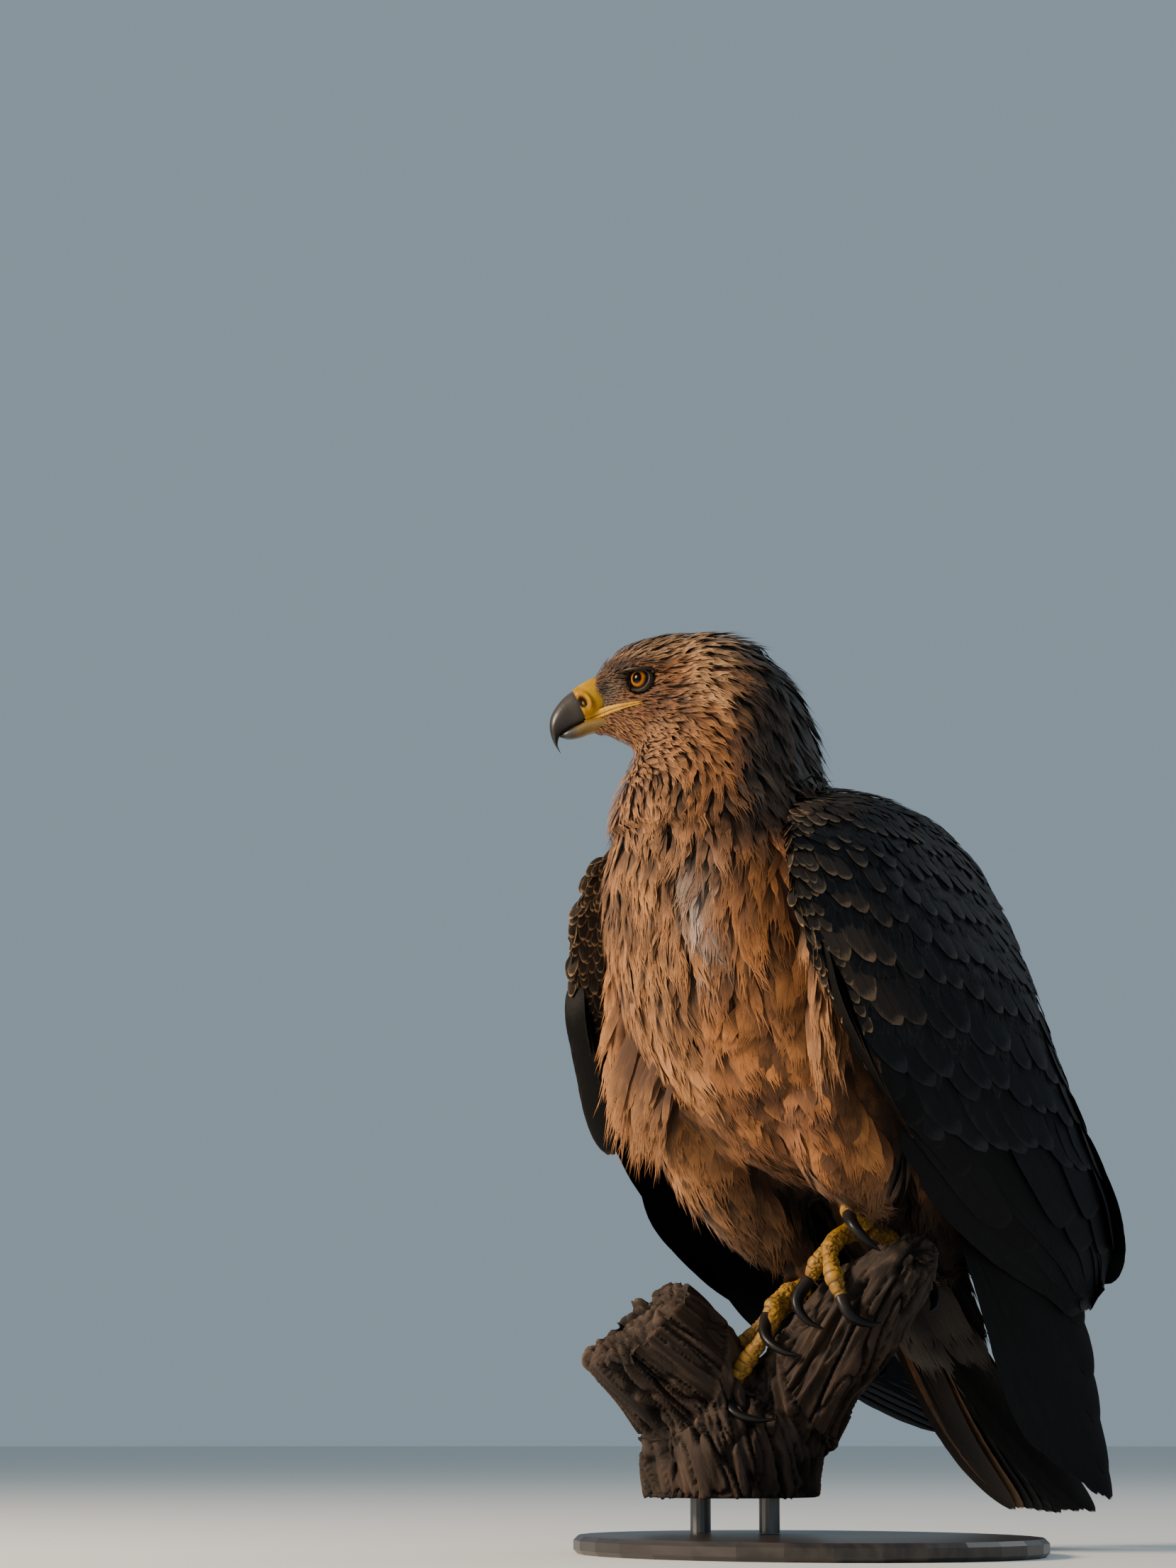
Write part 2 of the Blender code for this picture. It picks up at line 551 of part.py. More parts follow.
def build_head_and_body():
    """Flesh modelled whole, then parted into head, neck and trunk."""
    flesh = combine(trunk_body(), neck_column(), "UNION")
    flesh = combine(flesh, skull(), "UNION")
    for side in ("left", "right"):
        cut_away(flesh, wing_shell(side), leg_piece("cutter", THIGH_SIZES[side], *THIGH_GRID))
    throat, nape = (head_place(*place) for place in HEAD_CUT)
    along = (nape - throat).normalized()
    head_cut = along.cross(head_frame()[1])
    rest, head = part(flesh, ("rest", "head"), throat, head_cut * math.copysign(1, head_cut.z))
    trunk, neck = part(rest, ("trunk", "neck"), *NECK_CUT)
    cut_away(head, head_loft("cutter", CERE_SIZES, *CERE_GRID), head_loft("cutter", JAW_SIZES, *JAW_GRID))
    for side, sign in (("left", 1), ("right", -1)):
        cut_away(head, eyeball("cutter", sign))
        finish(eyeball(f"eye_{side}", sign), "iris")
    for node in (head, neck, trunk):
        finish(node, "plumage")


def build_bill():
    """Cere, upper bill with its hook, and lower bill."""
    cere = head_loft("cere", CERE_SIZES, *CERE_GRID)
    bill = head_loft("bill_upper", BILL_SIZES, *BILL_GRID)
    jaw = head_loft("bill_lower", JAW_SIZES, *JAW_GRID)
    cut_away(bill, head_loft("cutter", CERE_SIZES, *CERE_GRID))
    cut_away(jaw, head_loft("cutter", CERE_SIZES, *CERE_GRID), head_loft("cutter", BILL_SIZES, *BILL_GRID))
    for node, finish_name in ((cere, "cere"), (bill, "bill"), (jaw, "bill")):
        finish(node, finish_name)


def build_tail():
    """Tail, starting where it leaves the body."""
    tail = tail_slab()
    tail.name = "tail"
    cut_away(tail, trunk_body())
    finish(tail, "flight")


def build_wing(side):
    """Wing parted into shoulder, coverts and secondaries, with the primaries coming out below."""
    shell = wing_shell(side)
    blade = cut_away(primary_blade(side), wing_shell(side), tail_slab())
    lower, shoulder = part(shell, ("lower", f"wing_{side}_shoulder"), (0, 0, SHOULDER_CUT), (0, 0, 1))
    point, normal = COVERT_CUT
    flights, coverts = part(lower, (f"wing_{side}_secondaries", f"wing_{side}_coverts"), point, -normal)
    for node, finish_name in ((shoulder, "dark_plumage"), (coverts, "dark_plumage"),
                              (flights, "flight"), (blade, "flight")):
        finish(node, finish_name)


def build_leg(side):
    """Thigh, shank, foot and claws of one side."""
    thigh = leg_piece(f"thigh_{side}", THIGH_SIZES[side], *THIGH_GRID)
    cut_away(thigh, wing_shell(side), foot("cutter", side))
    shank = leg_piece(f"shank_{side}", SHANK_SIZES[side], *SHANK_GRID)
    cut_away(shank, leg_piece("cutter", THIGH_SIZES[side], *THIGH_GRID), trunk_body(), foot("cutter", side))
    sole = foot(f"foot_{side}", side)
    for toe_name, places in CLAW_PLACES[side].items():
        nail = cut_away(claw(f"claw_{side}_{toe_name}", places), foot("cutter", side))
        finish(nail, "claw")
    finish(thigh, "plumage")
    finish(shank, "plumage")
    finish(sole, "toe")


def build_perch():
    """Branch with the beds of the feet and claws pressed into it."""
    made = perch()
    for side in ("left", "right"):
        cut_away(made, foot("cutter", side), leg_piece("cutter", SHANK_SIZES[side], *SHANK_GRID))
        for places in CLAW_PLACES[side].values():
            cut_away(made, claw("cutter", places))
    finish(made, "bark")


def main():
    """Remove what the scene holds, then build every node."""
    for found in list(bpy.data.objects):
        bpy.data.objects.remove(found)
    build_head_and_body()
    build_bill()
    build_tail()
    for side in ("left", "right"):
        build_wing(side)
        build_leg(side)
    build_perch()
    stand()


if __name__ == "__main__":
    main()
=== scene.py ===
"""Looks of a life-size tawny eagle gripping a cut branch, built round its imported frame.

The bird's flesh becomes one skin. Feathers are thin meshes laid over it: each has a spine that
follows the lie of the coat, a vane across the spine, and a brush of points at its tip. The folded
wings carry their coverts and flight feathers in rows on a sheet fitted to the wing. Lengths are
metres. The bird faces -Y, its left is +X, and its head is turned to its right.
"""

import itertools
import math
import time
from collections import namedtuple

import bpy
import numpy as np
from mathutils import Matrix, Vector
from mathutils.bvhtree import BVHTree
from mathutils.kdtree import KDTree

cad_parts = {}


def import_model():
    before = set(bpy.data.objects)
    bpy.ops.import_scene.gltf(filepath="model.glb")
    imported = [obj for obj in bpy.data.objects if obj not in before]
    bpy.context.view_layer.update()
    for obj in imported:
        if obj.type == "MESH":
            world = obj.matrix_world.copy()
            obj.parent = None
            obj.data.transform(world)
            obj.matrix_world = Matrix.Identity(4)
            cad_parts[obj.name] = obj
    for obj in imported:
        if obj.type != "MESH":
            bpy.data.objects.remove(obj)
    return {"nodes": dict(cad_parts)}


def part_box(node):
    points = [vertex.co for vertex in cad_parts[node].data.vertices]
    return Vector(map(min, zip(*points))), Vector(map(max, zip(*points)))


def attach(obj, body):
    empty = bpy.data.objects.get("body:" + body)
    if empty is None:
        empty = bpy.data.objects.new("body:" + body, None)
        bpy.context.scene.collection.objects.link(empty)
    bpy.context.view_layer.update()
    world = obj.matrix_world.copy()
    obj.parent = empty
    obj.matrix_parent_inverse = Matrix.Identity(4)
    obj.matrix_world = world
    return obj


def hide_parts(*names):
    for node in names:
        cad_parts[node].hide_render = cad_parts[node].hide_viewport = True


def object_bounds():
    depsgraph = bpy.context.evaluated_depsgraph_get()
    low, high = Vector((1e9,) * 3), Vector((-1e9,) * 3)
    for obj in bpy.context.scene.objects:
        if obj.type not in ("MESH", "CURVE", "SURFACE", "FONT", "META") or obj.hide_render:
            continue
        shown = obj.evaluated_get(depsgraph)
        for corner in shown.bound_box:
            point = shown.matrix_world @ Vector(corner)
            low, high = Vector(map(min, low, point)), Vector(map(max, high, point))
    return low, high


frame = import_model()
CAD_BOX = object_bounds()

bl_info = {
    "name": "Perched Eagle Looks",
    "version": (1, 0, 0),
    "blender": (4, 5, 0),
    "location": "3D View > Sidebar > Eagle",
    "description": "Skin, plumage, bill, eyes, feet, bark and stage of a perched eagle",
    "category": "Object",
}

UP = np.array((0.0, 0.0, 1.0))
SIDES = {"left": 1, "right": -1}
BODY_NODES = ("head", "neck", "trunk", "thigh_left", "thigh_right", "shank_left", "shank_right")
WING_NODES = ("shoulder", "coverts", "secondaries")

# Sizes of the head's parts, forward, sideways and up from the middle of the eyes
EYE_OPENING = (0.86, 0.46, 0.76)   # radians from the gaze to the lids: at the corners, above, below
GAZE_AHEAD = 0.72                  # how far the eyes look forward of straight sideways
MOUTH_LINE = ((0.0360, -0.0249), (0.0300, -0.0226), (0.0230, -0.0207), (0.0160, -0.0193),
              (0.0100, -0.0182), (0.0040, -0.0173), (-0.0025, -0.0166))
#               top fore, top,    low fore, low,    half width, fullness
CERE_SIZES = (
    (0.0150, 0.0105, 0.0100, -0.0190, 0.0084, 2.2), (0.0230, 0.0074, 0.0170, -0.0196, 0.0090, 2.2),
    (0.0300, 0.0044, 0.0235, -0.0207, 0.0103, 2.2), (0.0376, 0.0006, 0.0296, -0.0224, 0.0107, 2.2),
    (0.0444, -0.0040, 0.0352, -0.0244, 0.0099, 2.2))
BILL_SIZES = (
    (0.0412, -0.0030, 0.0325, -0.0226, 0.0066, 2.2), (0.0447, -0.0048, 0.0356, -0.0249, 0.0095, 2.2),
    (0.0502, -0.0092, 0.0416, -0.0280, 0.0088, 2.2), (0.0551, -0.0153, 0.0460, -0.0303, 0.0080, 2.1),
    (0.0583, -0.0214, 0.0495, -0.0322, 0.0069, 2.0), (0.0593, -0.0275, 0.0524, -0.0347, 0.0056, 2.0),
    (0.0585, -0.0337, 0.0536, -0.0378, 0.0042, 2.0), (0.0562, -0.0398, 0.0537, -0.0414, 0.0025, 2.0),
    (0.0522, -0.0460, 0.0518, -0.0461, 0.0005, 2.0))
JAW_SIZES = (
    (0.0080, -0.0195, 0.0080, -0.0300, 0.0100, 2.2), (0.0300, -0.0229, 0.0300, -0.0326, 0.0092, 2.2),
    (0.0400, -0.0270, 0.0395, -0.0357, 0.0078, 2.1), (0.0470, -0.0300, 0.0465, -0.0368, 0.0056, 2.0),
    (0.0524, -0.0334, 0.0522, -0.0356, 0.0018, 2.0))
NOSTRIL = ((0.0371, -0.0134), (-0.56, -0.83), 0.0044, 0.0030)   # place, slant, half length, half width

#              ahead,  high,  aside, radius
BROW_SIZES = (
    (0.0220, 0.0028, 0.0112, 0.0008), (0.0168, 0.0050, 0.0172, 0.0024), (0.0095, 0.0078, 0.0236, 0.0034),
    (0.0020, 0.0088, 0.0272, 0.0038), (-0.0055, 0.0082, 0.0286, 0.0034), (-0.0120, 0.0054, 0.0284, 0.0024),
    (-0.0175, 0.0025, 0.0274, 0.0008))
# Feathered pad of the lores, laid over the rear of the cere
LORE_SIZES = (
    (0.0080, 0.0130, 0.0050, -0.0172, 0.0145, 2.2), (0.0230, 0.0100, 0.0185, -0.0168, 0.0139, 2.2),
    (0.0290, 0.0062, 0.0268, -0.0158, 0.0134, 2.2), (0.0318, 0.0026, 0.0304, -0.0142, 0.0118, 2.2))
# Feathered pad under the mouth, laid over the rear of the lower bill
CHIN_SIZES = (
    (0.0060, -0.0200, 0.0060, -0.0345, 0.0125, 2.2), (0.0200, -0.0228, 0.0190, -0.0342, 0.0119, 2.2),
    (0.0270, -0.0254, 0.0260, -0.0342, 0.0107, 2.2), (0.0312, -0.0282, 0.0306, -0.0340, 0.0080, 2.2))

# The gripped limb's axis, and the toes and claws round it: along, degrees from its top toward the
# front, and height over its axis
LIMB_START = np.array((-0.044, 0.038, 0.104))
LIMB_ALONG = np.array((0.793, -0.074, 0.605))
TOE_RADIUS = 0.0064
CLAW_RADIUS = 0.0047 * 0.88
TOE_PLACES = {
    "left": {
        "inner": ((0.118, 5, 0.046), (0.102, 34, 0.047), (0.084, 46, 0.044)),
        "middle": ((0.122, 6, 0.046), (0.115, 40, 0.046), (0.112, 72, 0.041), (0.109, 96, 0.039)),
        "outer": ((0.126, 5, 0.046), (0.139, 26, 0.052), (0.147, 48, 0.050)),
        "hallux": ((0.120, -6, 0.046), (0.116, -38, 0.044), (0.112, -62, 0.041))},
    "right": {
        "inner": ((0.054, 5, 0.050), (0.047, 26, 0.052), (0.038, 44, 0.050)),
        "middle": ((0.048, 8, 0.050), (0.036, 52, 0.046), (0.014, 68, 0.049), (-0.003, 82, 0.055)),
        "outer": ((0.044, 2, 0.050), (0.014, 22, 0.051), (-0.014, 42, 0.051)),
        "hallux": ((0.047, -6, 0.050), (0.044, -38, 0.047), (0.042, -62, 0.044))}}
CLAW_PLACES = {
    "left": {
        "inner": ((0.084, 47, 0.044), (0.075, 66, 0.046), (0.074, 84, 0.041), (0.078, 100, 0.0345)),
        "middle": ((0.109, 97, 0.039), (0.108, 118, 0.042), (0.109, 134, 0.038), (0.112, 146, 0.0335)),
        "outer": ((0.147, 49, 0.050), (0.152, 66, 0.048), (0.153, 82, 0.040), (0.152, 92, 0.032)),
        "hallux": ((0.112, -63, 0.041), (0.110, -86, 0.044), (0.110, -104, 0.040), (0.111, -118, 0.0345))},
    "right": {
        "inner": ((0.038, 45, 0.050), (0.038, 68, 0.048), (0.044, 88, 0.042), (0.051, 101, 0.0365)),
        "middle": ((-0.003, 83, 0.055), (-0.002, 100, 0.064), (0.006, 114, 0.062), (0.015, 125, 0.055)),
        "outer": ((-0.014, 43, 0.051), (-0.023, 60, 0.057), (-0.026, 76, 0.055), (-0.025, 89, 0.050)),
        "hallux": ((0.042, -63, 0.044), (0.040, -86, 0.046), (0.041, -104, 0.042), (0.043, -118, 0.037))}}

# Grey down on the breast: place, spread
DOWN_PATCH = np.array(((0.043, -0.134, 0.430), (0.011, 0.030, 0.027)))
# Where the long plumes of the left flank start, from its top; the right flank's mirror them
FLANK_LINE = ((0.107, -0.078, 0.410), (0.104, -0.080, 0.372), (0.094, -0.086, 0.338),
              (0.070, -0.100, 0.312), (0.046, -0.110, 0.298))
# The flanks' plumes: side, count, how far down the line they start, lightness; the left flank's lower
# lightness is painted shade
FLANK_PLUMES = ((1, 50, 0.3, 0.7), (-1, 260, 1.0, 1.0))
# Girth of a toe along it, and radii of the lips along the mouth: places, values
TOE_GIRTHS = ((0, 0.2, 0.5, 0.8, 0.95, 1), (0.96, 0.82, 0.74, 0.80, 0.70, 0.56))
LIP_PLACES = (0, 0.2, 0.6, 1)
LIP_RADII = (("upper", 1, (0.0018, 0.0021, 0.0012, 0.0004)),
             ("lower", -1, (0.0010, 0.0011, 0.0008, 0.0004)))
# Primaries of one wing: count, and how far each reaches by its place in the fan
PRIMARY_COUNT = 11
PRIMARY_ENDS = ((-1, -0.3, 0.3, 0.65, 1), (0.72, 0.95, 1.0, 0.74, 0.50))
# Tail: count of long feathers, count in a row of coverts, and how far those rows reach, over and under
TAIL_COUNT = 12
TAIL_COVERT_COUNT = 9
TAIL_COVERTS = (((0.36, 0.30, 0.22), 1), ((0.52, 0.40, 0.28), -1))
# Cubes of the remeshes: body under the coat, skin, body under the flanks' plumes, wings, branch
BODY_CUBE = 0.0024
SKIN_CUBE = 0.00265
PLUME_CUBE = 0.0040
WING_CUBE = 0.0034
BARK_CUBE = 0.0017
PIECE_LIMIT = 185000   # triangles in one piece of feathers
# Seeds of the random draws; the wings' is added to the seed in the settings
SKIN_SEED, FLANK_SEED, WING_SEED, TAIL_SEED = 1, 31, 43, 90
SKIN_GAP = 0.0006      # between the skin and the roots of the coat
COAT_STEPS = 7         # places along a spine of the coat, of the wings' small cover, of a plume
COVER_STEPS = 6
PLUME_STEPS = 8
# Gaps between the small feathers of the wing, along its front edge and over its upper part
RIM_GAP = 0.0042
COVER_GAP = 0.0060
# The skin's wings against the frame's, along each axis, so that feathers cover them
WING_SLIMMING = (0.92, 0.87, 0.925)
# Places on the head, ahead, aside and up, from which the coat's depth and the feathers' length grow
DEPTH_MIDDLE = (0.024, 0.0, -0.004)
FACE_MIDDLE = (0.028, 0.0, -0.006)
FACE_REACH = 0.052     # how far from there the face's and the hackles' kinds of feather reach
HACKLE_REACH = 0.22
COAT_DEPTHS = ((0.015, 0.035, 0.06, 0.10, 0.16), (0.0010, 0.0018, 0.0032, 0.0060, 0.0080))
COAT_LENGTHS = ((0.008, 0.030, 0.050, 0.080, 0.13, 0.20, 0.34),
                (0.0036, 0.0068, 0.0130, 0.0240, 0.038, 0.050, 0.052))
# Half width of each kind of the coat's feathers, as a share of their length
COAT_WIDTHS = {"face": 0.13, "hackle": 0.145, "body": 0.19, "plume": 0.145}

CAMERA_PLACE = (1.809, -1.823, 0.083)
CAMERA_AIM = (-0.0965, -0.1072, 0.512)
FLOOR_RADIUS = 14
BODY_MIDDLE = (0.0, 0.0, 0.36)   # what the large lights aim at

# Straight axes of the branch's limbs: start, end and radius
LIMB_AXES = (
    ((-0.085, 0.042, 0.073), (0.081, 0.026, 0.199), 0.033),
    ((-0.078, 0.010, 0.020), (-0.082, 0.016, 0.100), 0.060),
    ((-0.078, 0.015, 0.070), (-0.106, -0.052, 0.152), 0.044),
    ((-0.082, 0.024, 0.070), (-0.118, -0.010, 0.156), 0.029))

# How a kind of feather is cut. Half width at t along it is the full half width times
# (1 - (1 - t)^rise) (1 - t^fall)^round. The vane's grid stops at `reach`, and a brush of points ends it.
Cut = namedtuple("Cut", "rise fall round reach rows columns rough sweep cup brush")
CUTS = {
    "face": Cut(2.5, 1.8, 0.8, 0.50, 4, 5, 0.30, 0.4, 0.05, 1.6),
    "hackle": Cut(2.2, 1.5, 0.85, 0.62, 6, 7, 0.26, 0.5, 0.05, 1.2),
    "body": Cut(3.5, 2.4, 0.70, 0.80, 7, 11, 0.22, 0.5, 0.06, 0.55),
    "plume": Cut(3, 1.7, 0.70, 0.68, 8, 9, 0.28, 0.6, 0.06, 0.9),
    "covert": Cut(6, 2.7, 0.66, 0.985, 12, 8, 0.06, 0.35, 0.10, 0.07),
    "flight": Cut(14, 12, 0.55, 0.99, 28, 9, 0.02, 0.30, 0.10, 0.05),
    "quill": Cut(14, 5.5, 0.60, 0.99, 40, 11, 0.03, 0.30, 0.10, 0.05)}


def unit(vectors):
    """Vectors brought to length one."""
    vectors = np.asarray(vectors, dtype=float)
    return vectors / np.maximum(np.linalg.norm(vectors, axis=-1, keepdims=True), 1e-12)


def ease(value, start, end):
    """Smooth step: 0 up to start, 1 from end, 3x² − 2x³ between."""
    part = np.clip((value - start) / (end - start), 0, 1)
    return part * part * (3 - 2 * part)


def bell(value, middle, spread):
    """Bell curve of height one."""
    return np.exp(-((value - middle) / spread) ** 2)


def mix(first, second, share):
    """Straight blend of two values or colours by a share for each row."""
    share = np.asarray(share, dtype=float)[..., None]
    return np.asarray(first) * (1 - share) + np.asarray(second) * share


def paint(red, green, blue):
    """Linear colour from the 0 to 255 values a colour picker shows."""
    shown = np.array((red, green, blue)) / 255
    return np.where(shown <= 0.04045, shown / 12.92, ((shown + 0.055) / 1.055) ** 2.4)


def noise(points, seed=0):
    """Smooth value noise from 0 to 1: scattered values at whole-number corners, blended by eased place."""
    points = np.asarray(points, dtype=float)
    cell = np.floor(points)
    part = points - cell
    part = part * part * (3 - 2 * part)
    cell = cell.astype(np.int64)
    total = np.zeros(points.shape[:-1])
    for corner in itertools.product((0, 1), repeat=3):
        key = (cell + corner) @ np.array((73856093, 19349663, 83492791)) + seed * 7919
        key = (key ^ (key >> 13)) * 1274126177 & 0x7FFFFFFF
        key = (key ^ (key >> 15)) & 0xFFFFFF
        total += np.where(corner, part, 1 - part).prod(axis=-1) * key / 0xFFFFFF
    return total


def wander(points, size, seeds):
    """Smooth random directions: a noise for each seed, less its middle value."""
    return np.stack([noise(points * size, seed) for seed in seeds], axis=-1) - 0.5


def along_surface(way, outs):
    """Direction less its part along the outward one, brought to length one."""
    return unit(way - outs * (way * outs).sum(axis=-1, keepdims=True))


def run_along(points):
    """Length along a row of points up to each."""
    return np.concatenate([[0], np.cumsum(np.linalg.norm(np.diff(points, axis=0), axis=1))])


def read_between(places, knots, rows):
    """Rows of points read straight between their knots."""
    return np.stack([np.interp(places, knots, rows[:, axis]) for axis in range(3)], axis=-1)


def tiled(colours, count):
    """Each colour, given from 0 to 255, once for each of count feathers."""
    return [np.tile(paint(*colour), (count, 1)) for colour in colours]


def opaque(colours):
    """Colours with a fourth channel of one."""
    return np.column_stack([colours, np.ones(len(colours))])


def read_curve(rows, places):
    """Catmull-Rom curves through rows of points (last axis but one), read at places from 0 to 1."""
    rows = np.asarray(rows, dtype=float)
    first, last = rows[..., :1, :], rows[..., -1:, :]
    padded = np.concatenate([2 * first - rows[..., 1:2, :], rows, 2 * last - rows[..., -2:-1, :]], axis=-2)
    place = np.asarray(places) * (rows.shape[-2] - 1)
    span = np.clip(place.astype(int), 0, rows.shape[-2] - 2)
    t = (place - span)[:, None]
    before, start, end, after = (padded[..., span + step, :] for step in range(4))
    return 0.5 * (2 * start + (end - before) * t + (2 * before - 5 * start + 4 * end - after) * t ** 2
                  + (3 * start - before - 3 * end + after) * t ** 3)


def spline(rows, count):
    """Catmull-Rom curve through the rows, read at count even places."""
    return read_curve(rows, np.linspace(0, 1, count))


def centre_of(node):
    """Middle of a node's box."""
    low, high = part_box(node)
    return np.array(low + high) / 2


HEAD = (centre_of("eye_left") + centre_of("eye_right")) / 2
HEAD_SIDE = unit(centre_of("eye_left") - centre_of("eye_right"))
HEAD_AHEAD = np.cross(HEAD_SIDE, UP)
EYE_OUT = float(np.linalg.norm(centre_of("eye_left") - HEAD))
LIMB_ALONG = unit(LIMB_ALONG)
LIMB_TOP = unit(UP - LIMB_ALONG * LIMB_ALONG[2])
LIMB_FRONT = np.cross(LIMB_ALONG, LIMB_TOP)


def head_place(ahead, aside, high):
    """Places given forward, to the left and up from the middle of the eyes."""
    return (HEAD + np.multiply.outer(ahead, HEAD_AHEAD) + np.multiply.outer(aside, HEAD_SIDE)
            + np.multiply.outer(high, UP))


def in_head(points):
    """Places measured forward, to the left and up from the middle of the eyes."""
    away = np.asarray(points) - HEAD
    return away @ HEAD_AHEAD, away @ HEAD_SIDE, away[..., 2]


def on_limb(along, degrees, height):
    """Place given along the gripped limb, round it from its top, and over its axis."""
    angle = np.radians(degrees)
    return LIMB_START + LIMB_ALONG * along + (LIMB_TOP * np.cos(angle) + LIMB_FRONT * np.sin(angle)) * height


def wing_nodes(side, count=3):
    """Names of the first nodes of a wing, from its shoulder down."""
    return [f"wing_{side}_{part}" for part in WING_NODES[:count]]


# ---------------------------------------------------------------------------------------------
# Meshes and surfaces


def link(name, data):
    """Object with this data, put into the scene."""
    made = bpy.data.objects.new(name, data)
    bpy.context.scene.collection.objects.link(made)
    return made


def aimed(name, data, place, aim):
    """Object with this data at a place, its -Z axis toward a point."""
    made = link(name, data)
    made.location = place
    made.rotation_mode = "QUATERNION"
    made.rotation_quaternion = (Vector(aim) - Vector(place)).to_track_quat("-Z", "Y")
    return made


def add_piece(name, points, faces, finish, values=None, bake=None, replaces=()):
    """Finished piece from whole arrays, riding on the frame's body."""
    mesh = bpy.data.meshes.new(name)
    mesh.vertices.add(len(points))
    mesh.vertices.foreach_set("co", np.asarray(points, np.float32).ravel())
    mesh.loops.add(faces.size)
    mesh.loops.foreach_set("vertex_index", faces.astype(np.int32).ravel())
    mesh.polygons.add(len(faces))
    mesh.polygons.foreach_set("loop_start", np.arange(0, faces.size, faces.shape[1], dtype=np.int32))
    mesh.polygons.foreach_set("use_smooth", np.ones(len(faces), bool))
    for label, rows in (values or {}).items():
        kind, field = {1: ("FLOAT", "value"), 3: ("FLOAT_VECTOR", "vector"),
                       4: ("FLOAT_COLOR", "color")}[1 if rows.ndim == 1 else rows.shape[1]]
        mesh.attributes.new(label, kind, "POINT").data.foreach_set(field, rows.astype(np.float32).ravel())
    if bake is not None:
        layer = mesh.uv_layers.new(name="OFBake")
        layer.data.foreach_set("uv", bake[faces.ravel()].astype(np.float32).ravel())
    mesh.update(calc_edges=True)
    mesh.validate()
    mesh.materials.append(finish)
    made = link(name, mesh)
    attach(made, "root")
    if replaces:
        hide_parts(*replaces)


def grid_faces(rows, columns, closed=False):
    """Corner numbers of the quads of a grid, facing the way rows × columns does; closed joins its sides."""
    last = columns if closed else columns - 1
    row, column = np.meshgrid(np.arange(rows - 1), np.arange(last), indexing="ij")
    after = (column + 1) % columns
    quads = [row * columns + column, (row + 1) * columns + column,
             (row + 1) * columns + after, row * columns + after]
    return np.stack(quads, axis=-1).reshape(-1, 4)


def in_triangles(quads):
    """Each quad as two triangles."""
    return quads[:, [0, 1, 2, 0, 2, 3]].reshape(-1, 3)


def mesh_arrays(mesh):
    """Points and triangles of a mesh."""
    mesh.calc_loop_triangles()
    place = np.empty(len(mesh.vertices) * 3)
    mesh.vertices.foreach_get("co", place)
    corner = np.empty(len(mesh.loop_triangles) * 3, np.int32)
    mesh.loop_triangles.foreach_get("vertices", corner)
    return place.reshape(-1, 3), corner.reshape(-1, 3)


def join_lots(lots):
    """Points and triangles of several lots as one."""
    starts = np.cumsum([0] + [len(points) for points, _ in lots[:-1]])
    return (np.vstack([points for points, _ in lots]),
            np.vstack([triangles + start for (_, triangles), start in zip(lots, starts)]))


def joined_nodes(names):
    """Points and triangles of several nodes together."""
    return join_lots([mesh_arrays(frame["nodes"][name].data) for name in names])


def fused(names, cube, rounds=3, more=()):
    """One closed surface round several nodes: joined, remeshed in cubes and evened out."""
    points, triangles = join_lots([joined_nodes(names), *more])
    mesh = bpy.data.meshes.new("fused")
    mesh.from_pydata(points, [], triangles)
    made = link("fused", mesh)
    remesh = made.modifiers.new("remesh", "REMESH")
    remesh.mode = "VOXEL"
    remesh.voxel_size = cube
    even = made.modifiers.new("even", "SMOOTH")
    even.factor = 0.5
    even.iterations = rounds
    arrays = mesh_arrays(made.evaluated_get(bpy.context.evaluated_depsgraph_get()).to_mesh())
    bpy.data.objects.remove(made)
    return arrays


def outward(points, triangles):
    """Unit normal at each point, from the triangles round it."""
    corner = points[triangles]
    face = np.cross(corner[:, 1] - corner[:, 0], corner[:, 2] - corner[:, 0])
    total = np.zeros_like(points)
    for axis in range(3):
        total[:, axis] = np.bincount(triangles.ravel(), np.repeat(face[:, axis], 3), len(points))
    return unit(total)


class Surface:
    """Triangles that give the nearest place on them, with the smooth outward direction there."""

    def __init__(self, points, triangles):
        self.points, self.triangles = points, triangles
        self.outs = outward(points, triangles)
        self.tree = BVHTree.FromPolygons(points.tolist(), triangles.tolist())

    def nearest(self, places):
        """Nearest places and outward directions; corner shares weigh the corners' normals."""
        flat = places.reshape(-1, 3)
        found = [self.tree.find_nearest(place) for place in flat.tolist()]
        spot = np.array([hit[0] for hit in found])
        corner = self.triangles[[hit[2] for hit in found]]
        a, b, c = (self.points[corner[:, side]] for side in range(3))
        whole = np.cross(b - a, c - a)
        size = np.maximum((whole ** 2).sum(1), 1e-20)
        share_b = (np.cross(spot - a, c - a) * whole).sum(1) / size
        share_c = (np.cross(b - a, spot - a) * whole).sum(1) / size
        shares = np.stack([1 - share_b - share_c, share_b, share_c], axis=1)
        out = unit((self.outs[corner] * shares[..., None]).sum(axis=1))
        return spot.reshape(places.shape), out.reshape(places.shape)


